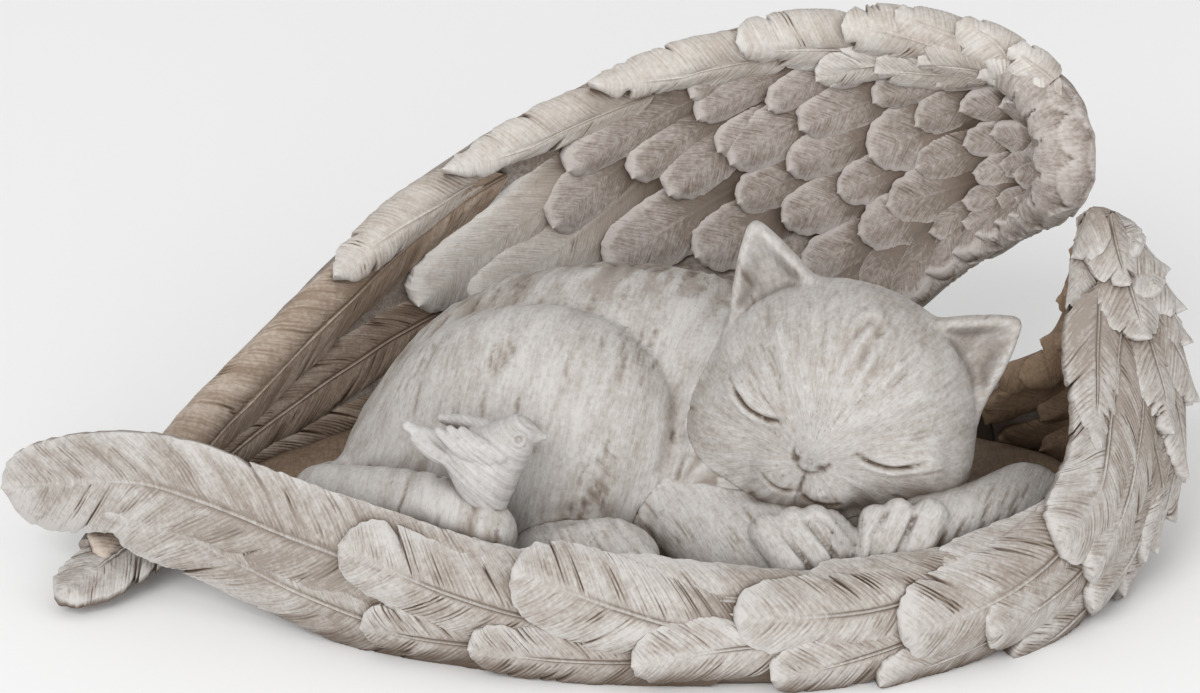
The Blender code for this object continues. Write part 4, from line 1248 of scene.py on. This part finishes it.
def feather_rows_tree():
    """Rows of small feathers laid out on a wing's plan, then wrapped on its sheet."""
    tree = new_tree("feather_rows", (
        ("Feather", "NodeSocketObject"), ("Rows", "NodeSocketInt"), ("Feathers", "NodeSocketInt"),
        ("First Row", "NodeSocketFloat"), ("Last Row", "NodeSocketFloat"), ("Length", "NodeSocketFloat"),
        ("Last Length", "NodeSocketFloat"), ("Width", "NodeSocketFloat"), ("Wander", "NodeSocketFloat"),
        ("Seed", "NodeSocketInt"), ("Finish", "NodeSocketMaterial"),
    ))
    w = Wiring(tree)
    given = w.node("NodeGroupInput").outputs
    count = w.math("MULTIPLY", given["Rows"], given["Feathers"])
    index = w.node("GeometryNodeInputIndex").outputs[0]
    row = w.math("FLOOR", w.math("DIVIDE", index, given["Feathers"]))
    column = w.math("SUBTRACT", index, w.math("MULTIPLY", row, given["Feathers"]))
    share = w.math("DIVIDE", row, w.math("SUBTRACT", given["Rows"], 1.0))
    span = w.math("SUBTRACT", given["Last Row"], given["First Row"])
    along = w.math("ADD", given["First Row"], w.math("MULTIPLY", share, span))
    odd = w.math("MULTIPLY", w.math("MODULO", row, 2.0), 0.5)
    across = w.math("DIVIDE", w.math("ADD", w.math("ADD", column, odd), 0.25), given["Feathers"])
    across = w.math("ADD", w.math("MULTIPLY", across, 0.84), 0.08)

    def wandering(low, high, offset):
        seed = w.math("ADD", given["Seed"], offset)
        return w.node("FunctionNodeRandomValue", {2: low, 3: high, "Seed": seed}, data_type="FLOAT").outputs[1]

    wander_along = w.math("MULTIPLY", wandering(-1.0, 1.0, 1.0), given["Wander"])
    wander_across = w.math("MULTIPLY", wandering(-1.0, 1.0, 2.0), given["Wander"])
    place_along = w.math("ADD", along, wander_along)
    place_across = w.math("ADD", across, wander_across)
    place = w.node("ShaderNodeCombineXYZ", {0: place_along, 1: place_across}).outputs[0]
    points = w.node("GeometryNodePoints", {"Count": count, "Position": place}).outputs[0]
    longer = w.math("MULTIPLY", share, w.math("SUBTRACT", given["Last Length"], given["Length"]))
    length = w.math("MULTIPLY", w.math("ADD", given["Length"], longer), wandering(0.9, 1.12, 3.0))
    width = w.math("MULTIPLY", given["Width"], wandering(0.9, 1.15, 4.0))
    size = w.node("ShaderNodeCombineXYZ", {0: length, 1: width, 2: wandering(0.85, 1.15, 5.0)}).outputs[0]
    shape = w.node("GeometryNodeObjectInfo", {"Object": given["Feather"]}).outputs["Geometry"]
    laid = w.node("GeometryNodeInstanceOnPoints", {"Points": points, "Instance": shape, "Scale": size}).outputs[0]
    laid = w.node(
        "GeometryNodeStoreNamedAttribute", {"Geometry": laid, "Name": "number", "Value": w.math("ADD", index, 1.0)},
        data_type="FLOAT", domain="INSTANCE",
    ).outputs[0]
    real = w.node("GeometryNodeRealizeInstances", {"Geometry": laid}).outputs[0]
    fine = w.node("GeometryNodeSubdivideMesh", {"Mesh": real, "Level": 1}).outputs[0]
    flat = w.node("ShaderNodeSeparateXYZ", {0: w.node("GeometryNodeInputPosition").outputs[0]}).outputs

    def on_plan(value):
        moved = w.math("ADD", value, PLAN_MARGIN)
        kept = w.math("DIVIDE", moved, 1 + 2 * PLAN_MARGIN)
        return w.math("MINIMUM", w.math("MAXIMUM", kept, 0.002), 0.998)

    spot = w.node("ShaderNodeCombineXYZ", {0: on_plan(flat[0]), 1: on_plan(flat[1])}).outputs[0]
    plan = w.node("GeometryNodeInputNamedAttribute", {"Name": "plan"}, data_type="FLOAT_VECTOR").outputs[0]
    here = w.node("GeometryNodeInputPosition").outputs[0]
    outward = w.node("GeometryNodeInputNamedAttribute", {"Name": "outward"}, data_type="FLOAT_VECTOR").outputs[0]
    found = []
    for value in (here, outward):
        sample = w.node("GeometryNodeSampleUVSurface", data_type="FLOAT_VECTOR")
        tree.links.new(given["Geometry"], sample.inputs["Mesh"])
        tree.links.new(value, sample.inputs["Value"])
        tree.links.new(plan, sample.inputs["Source UV Map"])
        tree.links.new(spot, sample.inputs["Sample UV"])
        found.append(sample.outputs[0])
    raised = w.node("ShaderNodeVectorMath", {0: found[1], "Scale": flat[2]}, operation="SCALE").outputs[0]
    wrapped = w.node("ShaderNodeVectorMath", {0: found[0], 1: raised}, operation="ADD").outputs[0]
    bent = w.node("GeometryNodeSetPosition", {"Geometry": fine, "Position": wrapped}).outputs[0]
    dressed = w.node("GeometryNodeSetMaterial", {"Geometry": bent, "Material": given["Finish"]}).outputs[0]
    w.node("NodeGroupOutput", {0: dressed})
    return tree


def feather_rows(name, tree, plan, material, **inputs):
    """Piece that a row tree makes on a wing's plan."""
    change = plan.modifiers.new(name, "NODES")
    change.node_group = tree
    sockets = {item.name: item.identifier for item in tree.interface.items_tree if item.in_out == "INPUT"}
    inputs["Finish"] = material
    for label, value in inputs.items():
        change[sockets[label.replace("_", " ")]] = value
    bpy.context.view_layer.update()
    depsgraph = bpy.context.evaluated_depsgraph_get()
    mesh = bpy.data.meshes.new_from_object(plan.evaluated_get(depsgraph))
    plan.modifiers.remove(change)
    mesh.name = name
    carve_rows(mesh)
    places = np.zeros(len(mesh.vertices) * 3, np.float32)
    mesh.vertices.foreach_get("co", places)
    places[2::3] = np.maximum(places[2::3], 0)
    mesh.vertices.foreach_set("co", places)
    mesh.shade_smooth()
    mesh.set_sharp_from_angle(angle=math.radians(60))
    thing = bpy.data.objects.new(name, mesh)
    bpy.context.collection.objects.link(thing)
    return thing


def carve_rows(mesh):
    """Barbs and edge light on the rows' feathers, from the places kept on their points."""
    count = len(mesh.vertices)
    kept = {}
    for key in ("run", "spread", "number"):
        kept[key] = np.zeros(count, np.float32)
        mesh.attributes[key].data.foreach_get("value", kept[key])
    s, t, number = kept["run"], kept["spread"], kept["number"]
    length, half = 22.0, 7.0
    p = s * length - np.abs(t) * half * 1.1
    phase = p / 1.9 + 0.37 * number
    carve = 0.5 - 0.5 * np.cos(2 * math.pi * phase)
    relief = 0.35 + 0.35 * carve + 0.2 * eased(0.8, 1, np.abs(t)) + 0.2 * eased(0.9, 1, s)
    # Undersides darkest: partly wash, partly painted shade under the feather's edge
    relief = np.where(np.abs(t) > 1.2, 0.1, relief)
    lay = np.column_stack([p, np.abs(t) * half * 1.5, number % 17])
    for key, kind, field, data in (("relief", "FLOAT", "value", relief), ("lay", "FLOAT_VECTOR", "vector", lay)):
        layer = mesh.attributes.new(key, kind, "POINT")
        layer.data.foreach_set(field, data.astype(np.float32).ravel())


# Finishes

def shader_group(name, inputs, outputs):
    """Shader node group with named inputs and outputs, and its wiring."""
    tree = bpy.data.node_groups.new(name, "ShaderNodeTree")
    for label, kind, value in inputs:
        socket = tree.interface.new_socket(label, in_out="INPUT", socket_type=kind)
        if value is not None:
            socket.default_value = value
    for label, kind in outputs:
        tree.interface.new_socket(label, in_out="OUTPUT", socket_type=kind)
    return tree, Wiring(tree)


def stone_grain():
    """Grain of cast resin: fine height, broad mottle and small specks."""
    tree, w = shader_group(
        "stone_grain", (("Vector", "NodeSocketVector", None), ("Fineness", "NodeSocketFloat", 1.0)),
        (("Height", "NodeSocketFloat"), ("Mottle", "NodeSocketFloat"), ("Specks", "NodeSocketFloat")),
    )
    given = w.node("NodeGroupInput").outputs
    found = []
    for scale, detail, rough in ((900.0, 4.0, 0.65), (38.0, 5.0, 0.62), (420.0, 3.0, 0.7)):
        size = w.math("MULTIPLY", given["Fineness"], scale)
        found.append(w.node("ShaderNodeTexNoise", {
            "Vector": given["Vector"], "Scale": size, "Detail": detail, "Roughness": rough,
        }).outputs[0])
    dots = w.node("ShaderNodeMapRange", {"Value": found[2], "From Min": 0.60, "From Max": 0.72}).outputs[0]
    w.node("NodeGroupOutput", {"Height": found[0], "Mottle": found[1], "Specks": dots})
    return tree


def chisel_strokes():
    """Fine strokes that follow the lay of the fur or of the feather's barbs."""
    tree, w = shader_group(
        "chisel_strokes", (("Lay", "NodeSocketVector", None), ("Closeness", "NodeSocketFloat", 1.0),
                           ("Run", "NodeSocketFloat", 0.25)),
        (("Height", "NodeSocketFloat"),),
    )
    given = w.node("NodeGroupInput").outputs
    parts = w.node("ShaderNodeSeparateXYZ", {0: given["Lay"]}).outputs
    across = w.math("MULTIPLY", w.math("MULTIPLY", parts[0], 2.0), given["Closeness"])
    along = w.math("MULTIPLY", parts[1], given["Run"])
    place = w.node("ShaderNodeCombineXYZ", {0: across, 1: along, 2: w.math("MULTIPLY", parts[2], 7.3)}).outputs[0]
    noise = w.node("ShaderNodeTexNoise", {"Vector": place, "Scale": 1.0, "Detail": 3.0, "Roughness": 0.6}).outputs[0]
    w.node("NodeGroupOutput", {"Height": noise})
    return tree


def aged_wash():
    """Colour of the stone finish: pale wash rubbed on what stands proud, and the hollow colour where occlusion and
    relief are low, partly the real brown wash and partly painted shade.
    """
    tree, w = shader_group(
        "aged_wash", (
            ("Pale", "NodeSocketColor", None), ("Body", "NodeSocketColor", None), ("Hollow", "NodeSocketColor", None),
            ("Relief", "NodeSocketFloat", 0.5), ("Shelter", "NodeSocketFloat", 1.0), ("Mottle", "NodeSocketFloat", 0.5),
            ("Strokes", "NodeSocketFloat", 0.5), ("Specks", "NodeSocketFloat", 0.0),
            ("Grain", "NodeSocketFloat", 0.5), ("Rub", "NodeSocketFloat", 0.5),
        ), (("Color", "NodeSocketColor"),),
    )
    given = w.node("NodeGroupInput").outputs

    def mixed(share, first, second):
        return w.node("ShaderNodeMix", {0: share, 6: first, 7: second}, data_type="RGBA").outputs[2]

    lift = given["Relief"]
    for key, weight in (("Mottle", 0.8), ("Strokes", 0.95), ("Grain", 0.9), ("Rub", 1.0)):
        lift = w.math("ADD", lift, w.math("MULTIPLY", w.math("SUBTRACT", given[key], 0.5), weight))
    pale = w.node("ShaderNodeMapRange", {"Value": lift, "From Min": 0.2, "From Max": 0.85}).outputs[0]
    # Darkening towards the hollow colour by occlusion and low relief: partly the real wash, partly painted shade in
    # creases and under overlaps
    open_to_air = w.math("ADD", given["Shelter"], w.math("MULTIPLY", w.math("SUBTRACT", given["Relief"], 0.5), 0.6))
    deep = w.node("ShaderNodeMapRange", {
        "Value": open_to_air, "From Min": 0.78, "From Max": 0.25, "To Min": 0.0, "To Max": 0.92,
    }).outputs[0]
    # Body or pale colour, stained and darkened by painted shade towards the hollow colour
    stained_and_shaded = mixed(deep, mixed(pale, given["Body"], given["Pale"]), given["Hollow"])
    speckled = mixed(w.math("MULTIPLY", given["Specks"], 0.25), stained_and_shaded, given["Hollow"])
    w.node("NodeGroupOutput", {0: speckled})
    return tree


def cast_finish(name, groups, pale, body, hollow, rub, closeness, run):
    """Material of the cast stone look."""
    grain, chisel, wash = groups
    material = bpy.data.materials.new(name)
    material.use_nodes = True
    tree = material.node_tree
    w = Wiring(tree)
    shader = tree.nodes["Principled BSDF"]
    shader.inputs["Metallic"].default_value = 0.0
    shader.inputs["Specular IOR Level"].default_value = 0.25
    where = w.node("ShaderNodeTexCoord").outputs["Object"]
    lay = w.node("ShaderNodeAttribute", attribute_name="lay").outputs["Vector"]
    relief = w.node("ShaderNodeAttribute", attribute_name="relief").outputs["Fac"]
    # Occlusion that paints shade into creases and under overlaps, together with the wash in the hollows
    shelter = w.node("ShaderNodeAmbientOcclusion", {"Distance": SHELTER_REACH}, samples=8, only_local=False)
    stone = w.node("ShaderNodeGroup", {"Vector": where}, node_tree=grain).outputs
    marks = w.node("ShaderNodeGroup", {"Lay": lay, "Closeness": closeness, "Run": run}, node_tree=chisel).outputs[0]
    colours = {key: (*from_screen(*value), 1) for key, value in (("Pale", pale), ("Body", body), ("Hollow", hollow))}
    colour = w.node("ShaderNodeGroup", {
        **colours, "Rub": rub, "Relief": relief, "Shelter": shelter.outputs["AO"], "Mottle": stone["Mottle"],
        "Specks": stone["Specks"], "Strokes": marks, "Grain": stone["Height"],
    }, node_tree=wash).outputs[0]
    tree.links.new(colour, shader.inputs["Base Color"])
    dull = w.node("ShaderNodeMapRange", {
        "Value": stone["Mottle"], "From Min": 0.3, "From Max": 0.7, "To Min": 0.9, "To Max": 0.72,
    }).outputs[0]
    tree.links.new(dull, shader.inputs["Roughness"])
    height = w.math("ADD", w.math("MULTIPLY", marks, STROKE_DEPTH), w.math("MULTIPLY", stone["Height"], GRAIN_DEPTH))
    bump = w.node("ShaderNodeBump", {"Strength": 0.8, "Distance": 0.001, "Height": height}).outputs[0]
    tree.links.new(bump, shader.inputs["Normal"])
    return material


def from_screen(red, green, blue):
    """Colour for the shader from the values that a screen shows."""
    return tuple((value / 255 / 12.92) if value < 11 else ((value / 255 + 0.055) / 1.055) ** 2.4
                 for value in (red, green, blue))


# Stage

def camera():
    """Camera in front of the statue, a little above it."""
    lens = bpy.data.cameras.new("camera")
    lens.sensor_width = CAMERA_SENSOR
    lens.lens = CAMERA_LENS
    view = bpy.data.objects.new("camera", lens)
    bpy.context.collection.objects.link(view)
    rise = math.radians(CAMERA_RISE)
    target = (np.array((0, 0, CAMERA_HEIGHT)) - PLAN_MIDDLE) * MM
    away = Vector((0, -math.cos(rise), math.sin(rise)))
    view.location = Vector(target) + away * CAMERA_DISTANCE * MM
    view.rotation_euler = (-away).to_track_quat("-Z", "Y").to_euler()
    bpy.context.scene.camera = view


def lamp(name, place, power, size):
    """Soft square lamp that points at the statue."""
    light = bpy.data.lights.new(name, "AREA")
    light.size = size
    light.energy = power
    holder = bpy.data.objects.new(name, light)
    holder.location = place
    holder.rotation_euler = (Vector((0, 0, 0.04)) - Vector(place)).to_track_quat("-Z", "Y").to_euler()
    bpy.context.collection.objects.link(holder)


def stage():
    """Pale floor, soft lamps and an even pale sky."""
    bpy.ops.mesh.primitive_plane_add(size=6)
    floor = bpy.context.object
    floor.name = "floor"
    paint = bpy.data.materials.new("floor")
    paint.use_nodes = True
    shader = paint.node_tree.nodes["Principled BSDF"]
    shader.inputs["Base Color"].default_value = (0.93, 0.93, 0.93, 1)
    shader.inputs["Roughness"].default_value = 0.9
    floor.data.materials.append(paint)
    world = bpy.data.worlds.new("studio")
    world.use_nodes = True
    world.node_tree.nodes["Background"].inputs[0].default_value = (1, 1, 1, 1)
    world.node_tree.nodes["Background"].inputs[1].default_value = 0.66
    bpy.context.scene.world = world
    bpy.context.scene.view_settings.view_transform = "Standard"
    lamp("key", (-1.0, -2.0, 1.8), 33.0, 1.4)
    lamp("fill", (1.6, -1.6, 0.9), 8.0, 1.6)
    lamp("front", (0.1, -2.2, 0.45), 13.0, 1.2)


def placed(sheet, feathers, seed, wider=1.0, drawn=None, **carving):
    """Feathers from a list of roots, tips and widths, all carved in one way."""
    made = []
    for index, (root, tip, width) in enumerate(feathers):
        start = drawn_back(root, tip, drawn) if drawn else root
        made.append(feather(sheet, start, tip, width * wider, seed=seed + index, **carving))
    return made


def folded(fold, along, across, root_across, length, width, turn=1, **carving):
    """Feather folded over a rim, with its tip at a place along it and its root a length away."""
    reach = length_to_share(fold, along, 0.0, length)
    root = along - reach if turn > 0 else min(along + reach, 0.21)
    return feather(fold, (root, root_across), (along, across), width, **carving)


def back_wing(sheet):
    """The back wing's wall and placed feathers, each with the name of its finish."""
    long = placed(sheet, BACK_INNER_FEATHERS[:BACK_LONG], 2)
    inner = placed(sheet, BACK_INNER_FEATHERS[BACK_LONG:], 2 + BACK_LONG, INNER_WIDER, INNER_DRAWN, rib=0.25, carve=0.4)
    left = [index - BACK_LONG for index in BACK_LEFT]
    root, tip, width = BACK_EDGE_FEATHER
    long.append(feather(over_rim(sheet, THIN_RIM), root, tip, width, lift=1.4, hook=0.3, seed=88, ground=0.5))
    over = []
    for index, (along, across, root_across, length, width, point) in enumerate(BACK_RIM_FEATHERS):
        fold = over_rim(sheet, THICK_RIM if along < THICK_RIM_END else THIN_RIM)
        over.append(folded(fold, along, across, root_across, length, width, lift=1.3 + 2.1 * point,
                           hook=0.5 + point, seed=200 + index, point=point, ground=0.4, rib=0.5, carve=0.7))
    start, end, facing, width = BACK_TIP_FEATHER
    blade = feather(flat_blade(start, end, facing), (0, 0), (1, 0), width, lift=0.3, hook=0.2, seed=77, ground=0.4,
                    point=0.2)
    # The back wing's inner face gets the darker stone that paints its shade; its rim and left feathers get the paler
    # stone that paints light
    return [
        (wall("back_wing_wall", sheet, 0.955, 110, 22, 1.6), "shaded_inner_feather_stone"),
        (back_shoulder_edge(), "shaded_inner_feather_stone"),
        (feather_piece("back_wing_flight_feathers", long), "flight_feather_stone"),
        (feather_piece("back_wing_left_feathers", [inner[index] for index in left]), "lit_rim_feather_stone"),
        (feather_piece("back_wing_inner_feathers", [made for index, made in enumerate(inner) if index not in left]),
         "shaded_inner_feather_stone"),
        (feather_piece("back_wing_rim_feathers", over), "lit_rim_feather_stone"),
        (feather_piece("back_wing_tip_feather", [blade]), "outer_feather_stone"),
    ]


def front_wing(sheet, low_sheet):
    """The front wing's wall and placed feathers, each with the name of its finish."""
    outer = []
    for index, (root, tip, width) in enumerate(FRONT_OUTER_FEATHERS):
        long = index < FRONT_LONG
        outer.append(feather(sheet, root if long else drawn_back(root, tip, OUTER_DRAWN), tip, width, seed=100 + index,
                             lift=1.0 if index == 0 else 3.0, barb=1.3 if long else BARB_GAP))
    scales = [
        feather(sheet, root, tip, width * SCALE_WIDER, seed=140 + index, point=point, lift=2.8, hook=0.8, rib=0.8,
                barb=1.7, carve=0.85)
        for index, (root, tip, width, point) in enumerate(SHOULDER_FEATHERS)
    ]
    cap = over_rim(sheet, CAP_RIM)
    for index, (along, across, length, width) in enumerate(SHOULDER_CAP_FEATHERS):
        scales.append(folded(cap, along, across, across, length, width, seed=160 + index, lift=1.2, hook=0.4,
                             ground=0.4, rib=0.4, carve=0.5))
    for index, (start, end, facing, width) in enumerate(SHOULDER_TOP_FEATHERS):
        scales.append(feather(flat_blade(start, end, facing), (0, 0), (1, 0), width, seed=165 + index, lift=0.4,
                              hook=0.0, ground=0.4, rib=0.4, carve=0.5))
    behind = placed(sheet, FRONT_BEHIND_FEATHERS, 170, side=-1, lift=2.4, rib=0.4, carve=0.6)
    for index, (along, across, length, width) in enumerate(BEHIND_RIM_FEATHERS):
        behind.append(folded(cap, along, across, across, length, width, -1, seed=190 + index, lift=1.4, hook=0.7,
                             ground=0.2, rib=0.3, carve=0.5))
    under = placed(sheet, FRONT_UNDER_FEATHERS, 120, lift=0.6, hook=0.2, ground=1.2, carve=0.6)
    # The feathers behind the cat's head get the darker stone that paints their shade
    return [
        (wall("front_wing_wall", low_sheet, 1.0, 130, 18, 0.4), "outer_feather_stone"),
        (feather_piece("front_wing_under_feathers", under), "outer_feather_stone"),
        (feather_piece("front_wing_feathers", outer), "outer_feather_stone"),
        (feather_piece("front_wing_shoulder_feathers", scales), "outer_feather_stone"),
        (feather_piece("front_wing_behind_feathers", behind), "shaded_behind_feather_stone"),
    ]


def hidden_rows(back, front, low_front, finishes):
    """Rows of small feathers on the faces of the wings that the front view hides."""
    tree = feather_rows_tree()
    quill = small_feather()
    plans = [wing_plan("back_plan", back, -1), wing_plan("front_inner_plan", low_front, -1),
             wing_plan("front_behind_plan", front, 1)]
    rows = []
    for plan, (name, finish, values) in zip(plans, HIDDEN_ROWS):
        rows.append((feather_rows(name, tree, plan, finishes[finish], Feather=quill, **values), finish))
    for helper in plans + [quill]:
        bpy.data.objects.remove(helper)
    return rows


def statue():
    """All pieces of the statue, each with its finish."""
    groups = (stone_grain(), chisel_strokes(), aged_wash())
    finishes = {name: cast_finish(name, groups, *values) for name, values in FINISHES.items()}
    back = wing_sheet(BACK_RIM, BACK_MIDDLE, BACK_FOOT)
    front = wing_sheet(FRONT_RIM, FRONT_MIDDLE, FRONT_FOOT)
    low_front = sunk(front, *FRONT_SINKING)
    # The nest gets the darker stone that paints the shade under the cat
    made = [(finish_head(), "cat_stone"), (finish_body(), "cat_stone"), (finish_paws(), "cat_stone"),
            (finish_bird(), "bird_stone"), (nest(), "shaded_nest_stone")]
    made += back_wing(back) + front_wing(front, low_front) + hidden_rows(back, front, low_front, finishes)
    for thing, finish in made:
        thing.data.materials.clear()
        thing.data.materials.append(finishes[finish])
        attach(thing, "root")
        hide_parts(NODE)


camera()
stage()
statue()
